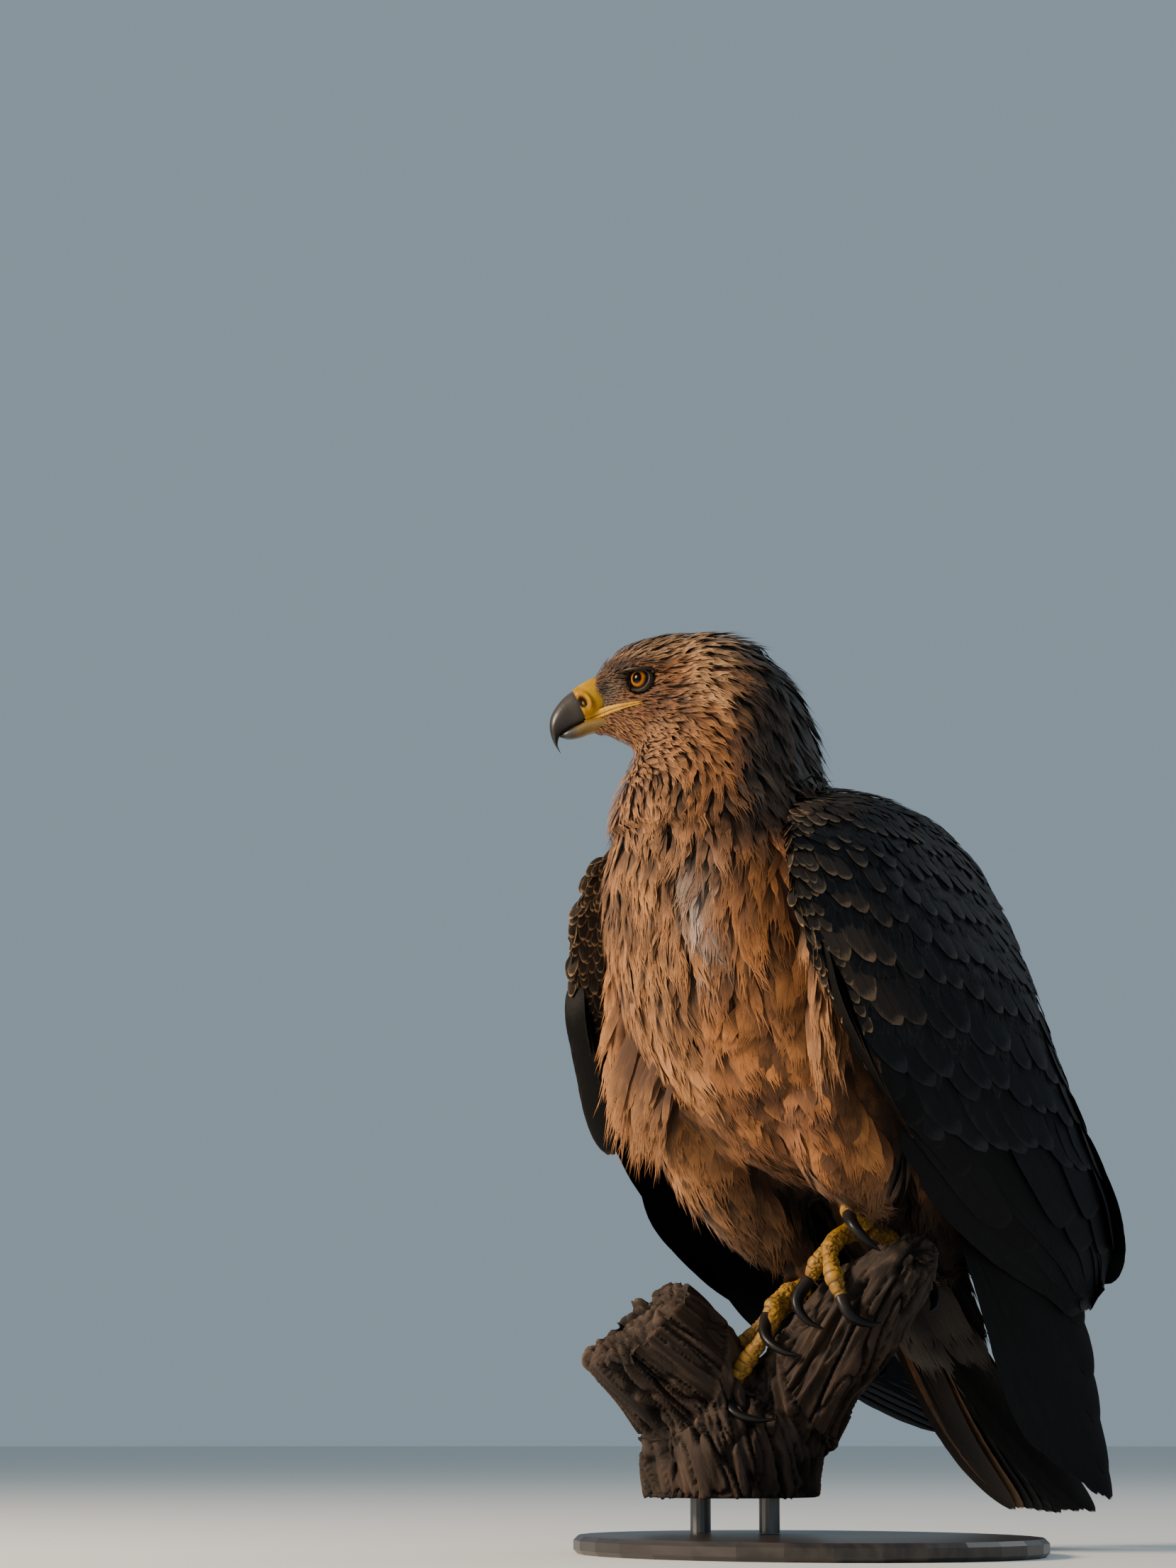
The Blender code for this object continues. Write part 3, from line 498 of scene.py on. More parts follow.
def scatter(surface, spacing, wanted, rng):
    """Random places on a surface, no two nearer than the spacing there; wanted says where.

    Triangles are drawn by area over spacing squared, and of the places drawn a random one after
    another is kept and clears its neighbours.
    """
    corner = surface.points[surface.triangles]
    area = np.linalg.norm(np.cross(corner[:, 1] - corner[:, 0], corner[:, 2] - corner[:, 0]), axis=1) / 2
    middle = corner.mean(axis=1)
    weight = np.where(wanted(middle), area / spacing(middle) ** 2, 0)
    count = int(weight.sum() * 7)
    drawn = rng.choice(len(weight), count, p=weight / weight.sum())
    share = np.sort(rng.random((count, 2)), axis=1)
    share = np.stack([share[:, 0], share[:, 1] - share[:, 0], 1 - share[:, 1]], axis=1)
    places = (corner[drawn] * share[..., None]).sum(axis=1)
    tree = KDTree(count)
    for number, place in enumerate(places.tolist()):
        tree.insert(place, number)
    tree.balance()
    reach = spacing(places).tolist()
    free = np.ones(count, bool)
    kept = []
    for number, place in enumerate(places.tolist()):
        if free[number]:
            kept.append(number)
            free[[near[1] for near in tree.find_range(place, reach[number])]] = False
    return places[kept]


def unwrap(points):
    """Places in the unit square on a cylinder round the leaning body: angle round it, height up it."""
    low, high = CAD_BOX[0][2], CAD_BOX[1][2]
    middle = np.interp(points[..., 2], (0.02, 0.20, 0.35, 0.60), (0.24, 0.10, -0.02, -0.10))
    angle = np.arctan2(points[..., 0], middle - points[..., 1])
    return np.stack([angle / math.tau + 0.5, (points[..., 2] - low) / (high - low)], axis=-1) * 0.98 + 0.01


# ---------------------------------------------------------------------------------------------
# Materials


class Wire:
    """One socket of a shader, on which sums are written as plain expressions."""

    def __init__(self, shader, socket):
        self.shader, self.socket = shader, socket

    def sum(self, operation, *values):
        """Maths node on these values."""
        return self.shader.read("Math", 0, {"operation": operation}, dict(enumerate(values)))

    def __add__(self, other):
        return self.sum("ADD", self, other)

    def __sub__(self, other):
        return self.sum("SUBTRACT", self, other)

    def __rsub__(self, other):
        return self.sum("SUBTRACT", other, self)

    def __mul__(self, other):
        return self.sum("MULTIPLY", self, other)

    def __abs__(self):
        return self.sum("ABSOLUTE", self)

    def eased(self, start, end):
        """0 up to start, 1 from end, smooth between; start may be the greater."""
        low, high, ends = (start, end, (0, 1)) if start < end else (end, start, (1, 0))
        return self.shader.read("MapRange", 0, {"interpolation_type": "SMOOTHSTEP"},
                                {"Value": self, "From Min": low, "From Max": high,
                                 "To Min": ends[0], "To Max": ends[1]})


class Shader:
    """Material in the making: one surface shader and the nodes that feed it."""

    def __init__(self, name, **constants):
        self.material = bpy.data.materials.new(name)
        self.material.use_nodes = True
        self.tree = self.material.node_tree
        self.surface = self.tree.nodes["Principled BSDF"]
        for label, value in constants.items():
            self.surface.inputs[label.replace("_", " ")].default_value = value

    def read(self, kind, output, settings=(), inputs=()):
        """New node with its settings, then its sockets' values or links; gives one output back."""
        node = self.tree.nodes.new("ShaderNode" + kind)
        for label, value in dict(settings).items():
            if label == "stops":
                self.set_stops(node.color_ramp, value)
            else:
                setattr(node, label, value)
        for label, value in dict(inputs).items():
            self.feed(node.inputs[label], value)
        return Wire(self, node.outputs[output])

    def set_stops(self, ramp, stops):
        """Colours of a ramp at their places."""
        while len(ramp.elements) < len(stops):
            ramp.elements.new(0.5)
        for element, (place, colour) in zip(ramp.elements, stops):
            element.position = place
            element.color = (*colour, 1)

    def feed(self, socket, value):
        """Links a wire to a socket, or sets a plain value on it."""
        if isinstance(value, Wire):
            self.tree.links.new(value.socket, socket)
        elif socket.type == "RGBA" and len(value) == 3:
            socket.default_value = (*value, 1)
        else:
            socket.default_value = value

    def set(self, **values):
        """Feeds the surface shader."""
        for label, value in values.items():
            self.feed(self.surface.inputs[label.replace("_", " ")], value)

    def attribute(self, name, output="Vector"):
        """Values that the mesh carries."""
        return self.read("Attribute", output, {"attribute_name": name})

    def scaled(self, vector, scale):
        """Vector times a scale along each axis."""
        return self.read("Mapping", 0, {}, {"Vector": vector, "Scale": scale})

    def place(self, scale=(1, 1, 1)):
        """Place on the piece, in metres times the scale."""
        return self.scaled(self.read("TexCoord", "Object"), scale)

    def parts(self, vector):
        """The three numbers of a vector."""
        first = self.read("SeparateXYZ", 0, {}, {0: vector})
        return [Wire(self, output) for output in first.socket.node.outputs]

    def joined(self, *values):
        """Vector made of three numbers."""
        return self.read("CombineXYZ", 0, {}, dict(enumerate(values)))

    def noise(self, vector, scale, detail=3.0, roughness=0.5):
        """Cloudy noise from 0 to 1."""
        return self.read("TexNoise", 0, {}, {"Vector": vector, "Scale": scale, "Detail": detail,
                                             "Roughness": roughness})

    def mixed(self, share, first, second, blend="MIX"):
        """Two colours blended by a share."""
        return self.read("Mix", 2, {"data_type": "RGBA", "blend_type": blend},
                         {0: share, 6: first, 7: second})

    def bump(self, height, distance, strength=1.0):
        """Normal tilted by a height from 0 to 1 that stands for a distance in metres."""
        return self.read("Bump", 0, {}, {"Height": height, "Distance": distance, "Strength": strength})


def feather_finish(name, gloss, barb, streak, tip, sides, shine=0.25):
    """Feather: a tint that turns to its rim toward the tip and sides, slanting barbs, shaft and shaded root.

    The barbs are noise stretched along lines that run out and forward from the shaft.
    """
    shader = Shader(name, Sheen_Weight=max(shine - 0.10, 0) * 0.66, Sheen_Roughness=0.5,
                    Specular_IOR_Level=shine)
    barbs, across, seed = shader.parts(shader.attribute("vane"))
    along, beside, _ = shader.parts(shader.attribute("lie"))
    beside = abs(beside)
    strand = shader.noise(shader.joined(barbs * barb, across * 0.10, seed * 91), 1.0, 3.0, 0.65)
    blotch = shader.noise(shader.joined(barbs * 0.12, across * 0.12, seed * 57), 1.0, 3.0, 0.6)
    edge = along.eased(*tip) + beside.eased(0.5, 1.0) * along.eased(0.1, 0.6) * sides
    edge = (edge + (strand - 0.5) * 0.6 + (blotch - 0.5) * 0.6).eased(0.1, 1.0)
    colour = shader.mixed(edge, shader.attribute("tint", "Color"), shader.attribute("rim", "Color"))
    light = (strand - 0.5) * streak + (blotch - 0.5) * 0.5 + 1.0
    # Darker toward the root: partly the feather's own darker base, partly painted shade where the feathers
    # above cover it.
    light = light * (along.eased(0.0, 0.6) * 0.35 + 0.65)
    light = light * (1 - beside.eased(0.10, 0.03) * along.eased(1.0, 0.8) * 0.3)
    grey = shader.read("CombineColor", 0, {}, {0: light, 1: light, 2: light})
    colour = shader.mixed(1.0, colour, grey, "MULTIPLY")
    shader.set(Base_Color=colour, Roughness=(strand - 0.5) * 0.2 + gloss,
               Normal=shader.bump(strand, 0.0005, 0.5))
    return shader.material


def skin_finish():
    """Skin under the coat: the tint the skin carries, which holds painted shade, with fine pimples and
    creases.
    """
    shader = Shader("bird skin", Sheen_Weight=0.1, Specular_IOR_Level=0.3)
    pores = shader.noise(shader.place(), 900.0, 3.0)
    colour = shader.mixed(pores * 0.5, shader.attribute("tint", "Color"), paint(60, 48, 42))
    shader.set(Base_Color=colour, Roughness=pores * 0.2 + 0.6, Normal=shader.bump(pores, 0.0006))
    return shader.material


def waxy_finish(name, colour, dark, deep):
    """Waxy bare skin: a yellow that turns to a darker colour as painted shade in its folds, pits and creases,
    with pores and faint blotches.
    """
    shader = Shader(name, Specular_IOR_Level=0.28)
    pores = shader.noise(shader.place(), 900.0, 2.0)
    blotch = shader.noise(shader.place(), 130.0, 3.0)
    fold = shader.attribute("fold", "Fac")
    hue = shader.mixed(blotch.eased(0.35, 0.7), colour, deep)
    # The mask of folds paints shade: it turns the hue to the dark colour.
    hue = shader.mixed(fold, hue, dark)
    shader.set(Base_Color=hue, Roughness=pores * 0.2 + 0.36 + fold * 0.2,
               Normal=shader.bump(pores + blotch, 0.0002, 0.7))
    return shader.material


def horn_finish(name, stops, gloss, coat=0.35):
    """Horn: colour from root to tip, fine growth lines across and streaks along."""
    shader = Shader(name, Specular_IOR_Level=coat * 1.2, Coat_Roughness=0.2)
    grow, round_it, _ = shader.parts(shader.attribute("grow"))
    drift = shader.noise(shader.place(), 160.0, 3.0)
    lines = shader.noise(shader.joined(grow * 60, round_it * 2, 0.0), 1.0, 3.0)
    streaks = shader.noise(shader.joined(grow * 2, round_it * 22, 4.0), 1.0, 3.0)
    place = grow + (drift - 0.5) * 0.14 + (streaks - 0.5) * 0.12
    ramp = shader.read("ValToRGB", 0, {"stops": stops}, {0: place})
    colour = shader.mixed(lines * 0.22, ramp, paint(22, 22, 24))
    shader.set(Base_Color=colour, Roughness=streaks * 0.16 + lines * 0.08 + gloss, Coat_Weight=coat,
               Normal=shader.bump(lines * 0.6 + streaks * 0.4, 0.0003, 0.6))
    return shader.material


def eye_finish(iris):
    """Eye: a black pupil, an amber iris with spokes and a darker rim, and a wet glossy front."""
    shader = Shader("eye", Coat_Weight=0.28, Coat_Roughness=0.01, Roughness=0.5, Specular_IOR_Level=0.0)
    ring, spoke, turn = shader.parts(shader.attribute("ring"))
    spokes = shader.noise(shader.joined(ring * 2, spoke * 16, turn * 16), 1.0, 4.0, 0.65)
    place = ring + (spokes - 0.5) * 0.10
    black = (0.002, 0.002, 0.002)
    stops = ((0.0, black), (0.355, black), (0.385, paint(96, 52, 6)), (0.46, iris),
             (0.56, paint(150, 86, 8)), (0.64, paint(74, 40, 6)), (0.73, (0.006, 0.004, 0.003)))
    ramp = shader.read("ValToRGB", 0, {"stops": stops}, {0: place})
    shader.set(Base_Color=shader.mixed(spokes.eased(0.45, 0.75) * 0.4, ramp, (0.02, 0.009, 0.003)))
    return shader.material


def bark_finish(palest):
    """Weathered wood: grey-brown grain drawn out along the limb, painted shade in its cracks, and ridges pale
    partly from the weathered wood and partly from painted highlight.
    """
    shader = Shader("weathered wood", Specular_IOR_Level=0.25)
    grain = shader.attribute("grain")
    depth = shader.attribute("depth", "Fac")
    broad = shader.noise(shader.scaled(grain, (22, 70, 70)), 1.0, 4.0, 0.6)
    fine = shader.noise(shader.scaled(grain, (60, 420, 420)), 1.0, 4.0, 0.65)
    patch = shader.noise(shader.place(), 24.0, 3.0)
    stops = ((0.20, paint(14, 11, 10)), (0.42, paint(36, 28, 23)), (0.60, paint(62, 49, 40)), (0.82, palest))
    # The depth attribute carries painted shade in cracks and tears, and lightens the ridges partly as painted
    # highlight.
    light = fine * 0.45 + broad * 0.35 + depth * 0.50 - 0.14
    ramp = shader.read("ValToRGB", 0, {"stops": stops}, {0: light})
    colour = shader.mixed(patch.eased(0.45, 0.75) * 0.4, ramp, paint(74, 54, 40))
    shader.set(Base_Color=colour, Roughness=fine * 0.2 + 0.68,
               Normal=shader.bump(fine * 0.6 + broad * 0.4, 0.0014, 0.8))
    return shader.material


def stand_finish():
    """Ebonised wood with a satin lacquer: faint straight grain in near black."""
    shader = Shader("ebonised wood", Coat_Roughness=0.25, Specular_IOR_Level=0.45)
    grain = shader.noise(shader.place((6, 130, 60)), 1.0, 4.0)
    colour = shader.mixed(grain.eased(0.35, 0.7), paint(26, 23, 21), paint(52, 44, 38))
    shader.set(Base_Color=colour, Roughness=grain * 0.15 + 0.34, Coat_Weight=0.25,
               Normal=shader.bump(grain, 0.0002, 0.4))
    return shader.material


def rod_finish():
    """Brushed dark steel rod."""
    shader = Shader("dark steel", Metallic=1.0)
    brushed = shader.noise(shader.place((900, 900, 30)), 1.0, 3.0)
    shader.set(Base_Color=shader.mixed(brushed, (0.10, 0.10, 0.105), (0.19, 0.185, 0.18)),
               Roughness=brushed * 0.2 + 0.3, Normal=shader.bump(brushed, 0.0001, 0.4))
    return shader.material


def floor_finish(colour):
    """Plain pale floor with the faintest unevenness."""
    shader = Shader("pale floor", Specular_IOR_Level=0.2)
    cloud = shader.noise(shader.place(), 3.0, 2.0)
    shader.set(Base_Color=shader.mixed(cloud * 0.15, colour, (0.60, 0.60, 0.61)),
               Roughness=cloud * 0.1 + 0.7)
    return shader.material


# ---------------------------------------------------------------------------------------------
# Feathers


def vanes(cut, spines, outs, widths, rng, roll=0.0):
    """Points of many feathers of one cut, each on its own spine.

    Across a spine a point lies s × half width to the side. It is swept toward the tip by sweep × |s|
    and bent down by cup × s², both times the width there, and roll lowers one edge. The brush's points
    run on from the last row.
    """
    count = len(spines)
    t = np.linspace(0, cut.reach, cut.rows)
    s = np.linspace(-1, 1, cut.columns)
    middle = read_curve(spines, t)
    length = np.linalg.norm(np.diff(spines, axis=1), axis=2).sum(axis=1)
    ahead = unit(np.gradient(middle, axis=1))
    side = unit(np.cross(read_curve(outs, t), ahead))
    out = np.cross(ahead, side)
    shape = (1 - (1 - t) ** cut.rise) * (1 - t ** cut.fall) ** cut.round
    shape = np.maximum(shape, 0.06) * (1 + cut.rough * (rng.random((count, cut.rows, 1)) - 0.5))[..., 0]
    half = (widths[:, None] * shape)[..., None, None]
    uneven = 1 + cut.rough * 0.6 * (rng.random((count, cut.rows, cut.columns, 1)) - 0.5)
    across = s[:, None] * half * uneven
    grid = (middle[:, :, None] + side[:, :, None] * across
            + ahead[:, :, None] * (cut.sweep * np.abs(s)[:, None] * half * t[:, None, None])
            - out[:, :, None] * (half * (cut.cup * s[:, None] ** 2 + roll * s[:, None])))
    strip = (s[1:] + s[:-1]) / 2
    root = (grid[:, -1, 1:] + grid[:, -1, :-1]) / 2
    spare = (1 - cut.reach) * length[:, None] + widths[:, None] * cut.brush
    reach = spare * (1 - 0.75 * strip ** 2) * rng.uniform(0.45, 1.0, (count, len(strip)))
    lean = rng.uniform(-0.22, 0.22, (count, len(strip), 1)) - strip[:, None] * 0.25
    tips = root + reach[..., None] * unit(ahead[:, -1, None] + side[:, -1, None] * lean
                                          - out[:, -1, None] * 0.08)
    points = np.concatenate([grid.reshape(count, -1, 3), tips], axis=1)
    seed = np.repeat(rng.random(count)[:, None], points.shape[1], axis=1)
    t_all = np.concatenate([np.repeat(t, cut.columns), np.full(len(strip), 1.0)])
    s_all = np.concatenate([np.tile(s, cut.rows), strip])
    w_all = np.concatenate([np.repeat(shape, cut.columns, axis=1),
                            np.repeat(shape[:, -1:], len(strip), axis=1)], axis=1)
    across = s_all * w_all * widths[:, None]
    lie = np.stack([np.broadcast_to(t_all, seed.shape), np.broadcast_to(s_all, seed.shape), seed], axis=2)
    vane = np.stack([(t_all * length[:, None] - np.abs(across) * 1.3) * 1000, across * 1000, seed], axis=2)
    quads = grid_faces(cut.rows, cut.columns)
    last = (cut.rows - 1) * cut.columns + np.arange(cut.columns - 1)
    brush = np.stack([last, cut.rows * cut.columns + np.arange(cut.columns - 1), last + 1], axis=1)
    return points, np.vstack([in_triangles(quads), brush]), lie, vane


def add_feathers(name, batches, finish, replaces=()):
    """Pieces made of whole feathers, each piece short of its limit of triangles.

    A batch is what vanes gives, then the roots, tints and rims. Each feather's patch on the map for
    baking lies at its root's place on the unwrap.
    """
    made, waiting, total = 0, [], 0
    for (points, faces, lie, vane), roots, tints, rims in batches:
        patch = unwrap(roots)[:, None] + np.stack([lie[..., 1] * 0.5, lie[..., 0] - 0.5], axis=2) * 0.003
        start = 0
        while start < len(points):
            room = max((PIECE_LIMIT - total) // len(faces), 0)
            part = slice(start, start + room)
            if room:
                waiting.append((faces, *(rows[part] for rows in (points, lie, vane, patch, tints, rims))))
                total += len(points[part]) * len(faces)
                start += room
            if total + len(faces) > PIECE_LIMIT:
                made += 1
                join_feathers(f"{name}_{made}", waiting, finish, replaces if made == 1 else ())
                waiting, total = [], 0
    if waiting:
        join_feathers(f"{name}_{made + 1}", waiting, finish, replaces if made == 0 else ())


def join_feathers(name, batches, finish, replaces):
    """One piece from several lots of feathers."""
    rows = {label: [] for label in ("points", "faces", "bake", "lie", "vane", "tint", "rim")}
    start = 0
    for faces, points, lie, vane, patch, tints, rims in batches:
        count, size = points.shape[:2]
        rows["faces"].append((faces[None] + (start + np.arange(count) * size)[:, None, None]).reshape(-1, 3))
        for label, values in (("points", points), ("lie", lie), ("vane", vane), ("bake", patch)):
            rows[label].append(values.reshape(count * size, -1))
        for label, colours in (("tint", tints), ("rim", rims)):
            rows[label].append(np.repeat(opaque(colours), size, axis=0))
        start += count * size
    whole = {label: np.concatenate(lots) for label, lots in rows.items()}
    add_piece(name, whole.pop("points"), whole.pop("faces"), finish, bake=whole.pop("bake"),
              values=whole, replaces=replaces)


# ---------------------------------------------------------------------------------------------
# Body


def mould_head(points):
    """How far the head's skin stands out: sockets round the eyes, hollow lores and rounded cheeks."""
    ahead, aside, high = in_head(points)
    near = ease(np.abs(aside), 0.004, 0.010)
    cheek = 0.0016 * bell(ahead, -0.014, 0.013) * bell(high, -0.014, 0.010)
    socket = -0.0046 * bell(ahead, 0.002, 0.0095) * bell(high, -0.0015, 0.0075) * ease(high, 0.006, 0.003)
    lore = -0.0030 * bell(ahead, 0.0195, 0.0075) * bell(high, -0.0055, 0.0085)
    return (cheek + socket + lore) * near


def brow_rings(sign, share, drop, proud):
    """Rings of one brow shield, a flattened tube along its path, or of a thin lip along its lower edge.

    The lip has a share of the shield's radius and lies lower by drop × that radius.
    """
    rows = read_curve(BROW_SIZES, np.linspace(0.26 if drop else 0, 0.84 if drop else 1, 60))
    centres = head_place(rows[:, 0], (rows[:, 2] + proud) * sign, rows[:, 1] - drop * rows[:, 3])
    radii = rows[:, 3] * share * ease(np.linspace(0.02, 1, 60), 0, 0.3 if drop else 0.02)
    return along_tube(centres, radii, 28, unit(HEAD_SIDE * sign + UP * 0.5), 0.8)


def body_surface(cube, more=()):
    """Fused flesh of the bird with brow shields, feathered lores and chin, and its head moulded."""
    pads = list(more) + [closed_tube(brow_rings(sign, 1.0, 0.0, 0.0008)[0]) for sign in SIDES.values()]
    pads += [head_tube(sizes, 30, 40) for sizes in (LORE_SIZES, CHIN_SIZES)]
    points, triangles = fused(BODY_NODES, cube, more=pads)
    return points + outward(points, triangles) * mould_head(points)[:, None], triangles


def far_from(points, place):
    """Distance of points from a place on the head."""
    return np.linalg.norm(points - head_place(*place), axis=-1)


def coat_depth(points):
    """Depth of the coat: thin on the face, deeper over the crown and deepest on neck, breast and thighs."""
    depth = np.interp(far_from(points, DEPTH_MIDDLE), *COAT_DEPTHS)
    return np.where(points[..., 2] < 0.235, np.minimum(depth, 0.0065), depth)


def lie_of_coat(points, outs):
    """Direction the coat lies in: back over the head, away round the eyes, down the neck, body and legs."""
    away = unit(points - head_place(0.040, 0.0, -0.010))
    backward = -HEAD_AHEAD * 0.9 - UP * 0.15
    down = mix((0.0, 0.18, -0.98), (0.0, 0.50, -0.87), ease(outs[..., 1], -0.2, 0.8))
    down = mix(down, (0.0, 0.30, -0.95), ease(points[..., 2], 0.30, 0.20))
    share = ease(far_from(points, DEPTH_MIDDLE), 0.05, 0.13)
    way = mix(away * 0.55 + backward * 0.55, down, share)
    share = share[..., None]
    way = way + wander(points, 28, (3, 4, 5)) * 0.55 * share
    way = way + wander(points, 75, (6, 7, 8)) * (0.30 + 0.25 * share)
    for sign in SIDES.values():
        centre, gaze, _, _ = eye_frame(sign)
        away = points - centre
        across = away - gaze * (away @ gaze)[..., None]
        reach = np.linalg.norm(across, axis=-1)
        near = ease(reach, 0.0130, 0.0085) * (away @ gaze > 0) * ease(away[..., 2], 0.0075, 0.0045)
        way = mix(way, unit(across) + unit(way) * 0.35, near)
    return along_surface(way, outs)


def follow(surface, roots, lengths, steps, way_of, turn=0.0):
    """Spines laid over a surface: steps of the feather's length along the lie, each brought back to it."""
    spot, out = surface.nearest(roots)
    spots, outs = [spot], [out]
    for _ in range(steps - 1):
        way = way_of(spot, out)
        way = way + np.cross(out, way) * np.reshape(turn, (-1, 1))
        spot, out = surface.nearest(spot + unit(way) * (lengths / (steps - 1))[:, None])
        spots.append(spot)
        outs.append(out)
    return np.stack(spots, axis=1), np.stack(outs, axis=1)


def coat_colours(points, outs, rng, settings):
    """Tint of the middle and of the rim of each feather, by where it grows.

    Tawny breast and neck, browner crown, and the back of the neck behind the head darkened to near black as
    painted shade, both with pale tips; dark brown mantle, dark under the tail, a grey patch of down on the
    breast, brown thighs; clouds of noise vary them. The brow and the eye's front corner are partly their own
    dark and partly painted shade, and the lower body darkens toward the bottom, partly as painted shade.
    """
    ahead, _, high = in_head(points)
    from_head = np.linalg.norm(points - head_place(0.0, 0.0, -0.01), axis=-1)
    by_eye = ease(from_head, 0.05, 0.03)
    cloud = noise(points * 38, 11)
    fine = noise(points * 64, 12) * 0.65 + noise(points * 150, 13) * 0.35
    tint = mix(settings.tawny, paint(76, 48, 28), ease(cloud, 0.35, 0.75))
    rim = mix(settings.tawny_rim, paint(124, 78, 42), ease(cloud, 0.3, 0.7))
    back = ease(outs[:, 1], -0.15, 0.45) * ease(from_head, 0.045, 0.085)
    # Darker toward the bottom: partly the thighs' own brown, partly painted shade under the body.
    low = ease(points[:, 2], 0.30, 0.24)
    crown = ease(high, 0.006, 0.020) * ease(from_head, 0.085, 0.05)
    ear = bell(ahead, -0.036, 0.016) * ease(high, -0.030, -0.010)
    # Painted shade: the back of the neck, behind the head, turned near black.
    nape_shade = ease(ahead, -0.040, -0.066) * ease(points[:, 2], 0.45, 0.50)
    # Partly the brow's own darker brown, partly painted shade under the brow.
    brow = bell(ahead, 0.004, 0.020) * bell(high, 0.0095, 0.0036) * by_eye
    pale = bell(ahead, 0.004, 0.016) * bell(high, 0.0165, 0.0030) * by_eye
    # Partly the dark bare skin in the eye's front corner, partly painted shade under the brow.
    corner = bell(ahead, 0.0125, 0.0060) * bell(high, 0.0020, 0.0042) * by_eye
    lore = bell(ahead, 0.024, 0.010) * bell(high, -0.007, 0.011)
    throat = ease(high, -0.020, -0.032) * ease(ahead, -0.05, 0.0)
    vent = ease(points[:, 1], 0.01, 0.06) * ease(points[:, 2], 0.32, 0.24)
    for zone, middle, edge, middle_share, edge_share in (
            (back, settings.mantle, paint(82, 62, 46), 1, 0.85),
            (low, paint(60, 41, 28), paint(118, 83, 54), 1, 1),
            (crown, paint(70, 50, 36), paint(160, 122, 84), 1, 0.8),
            (ear, (0, 0, 0), paint(206, 162, 114), 0, 0.7),
            (nape_shade, paint(28, 23, 21), paint(56, 46, 39), 1, 0.9),
            (brow, paint(34, 26, 20), paint(66, 50, 38), 1, 1),
            (pale, paint(140, 108, 76), paint(190, 154, 116), 0.7, 0.7),
            (corner, paint(18, 14, 12), paint(34, 27, 22), 1, 1),
            (lore, paint(70, 58, 48), paint(112, 94, 78), 1, 1),
            (throat, paint(104, 70, 44), paint(174, 122, 74), 0.8, 0.8),
            (vent, paint(28, 23, 20), paint(50, 40, 33), 1, 1)):
        tint = mix(tint, middle, zone * middle_share)
        rim = mix(rim, edge, zone * edge_share)
    mottle = ease(fine, 0.48, 0.58) * ease(from_head, 0.045, 0.09)
    tint = mix(tint, tint * 0.34, mottle)
    rim = mix(rim, rim * 0.34, mottle * rng.uniform(0.6, 1.0, len(points)))
    down = np.exp(-(((points - DOWN_PATCH[0]) / DOWN_PATCH[1]) ** 2).sum(axis=1)) * 0.85
    tint = mix(tint, settings.down, down)
    rim = mix(rim, paint(166, 150, 138), down)
    light = rng.normal(1.0, 0.13, (len(points), 1))
    return tint * light, rim * light


def feather_length(points):
    """Length by place: a few millimetres on the face, longer back over the head, longest on the belly."""
    return np.interp(far_from(points, FACE_MIDDLE), *COAT_LENGTHS)


def closed_tube(rings):
    """Triangles over rings of points, with a pole at each end; turned so that they face outwards."""
    count, sides = rings.shape[:2]
    points = np.vstack([rings.reshape(-1, 3), rings[0].mean(axis=0), rings[-1].mean(axis=0)])
    around = np.arange(sides)
    after = (around + 1) % sides
    last = (count - 1) * sides
    start_fan = np.stack([np.full(sides, count * sides), around, after], axis=1)
    end_fan = np.stack([np.full(sides, count * sides + 1), last + after, last + around], axis=1)
    triangles = np.vstack([in_triangles(grid_faces(count, sides, closed=True)), start_fan, end_fan])
    a, b, c = (points[triangles[:, side]] - points.mean(axis=0) for side in range(3))
    return points, triangles if (np.cross(a, b) * c).sum() > 0 else triangles[:, ::-1]


def with_poles(values):
    """Values on rings carried on to the two poles."""
    flat = values.reshape(-1, *values.shape[2:])
    return np.concatenate([flat, values[:1].mean(axis=1), values[-1:].mean(axis=1)])


def head_rings(sizes, count, sides):
    """Rings of superellipses in the head's own frame, each between its top and low point.

    A ring's point is middle + up × sin^(2/f) + side × cos^(2/f), f its fullness.
    """
    rows = spline(sizes, count)
    turn = np.linspace(0, math.tau, sides, endpoint=False)
    fullness = rows[:, 5:6]
    across = np.sign(np.cos(turn)) * np.abs(np.cos(turn)) ** (2 / fullness) * rows[:, 4:5]
    up = np.sign(np.sin(turn)) * np.abs(np.sin(turn)) ** (2 / fullness)
    ahead = (rows[:, 0:1] + rows[:, 2:3]) / 2 + (rows[:, 0:1] - rows[:, 2:3]) / 2 * up
    high = (rows[:, 1:2] + rows[:, 3:4]) / 2 + (rows[:, 1:2] - rows[:, 3:4]) / 2 * up
    return ahead, across, high, turn


def head_tube(sizes, count, sides):
    """Closed tube through the head's rings."""
    ahead, across, high, _ = head_rings(sizes, count, sides)
    return closed_tube(head_place(ahead, across, high))


def along_tube(centres, radii, sides, out, flat):
    """Rings round a path: each is a circle of its radius, flattened across the outward direction."""
    ahead = unit(np.gradient(centres, axis=0))
    side = unit(np.cross(out, ahead))
    lift = np.cross(ahead, side)
    turn = np.linspace(0, math.tau, sides, endpoint=False)[None, :, None]
    radii = np.reshape(radii, (-1, 1, 1))
    return (centres[:, None] + side[:, None] * np.cos(turn) * radii
            + lift[:, None] * np.sin(turn) * radii * flat), turn[..., 0]


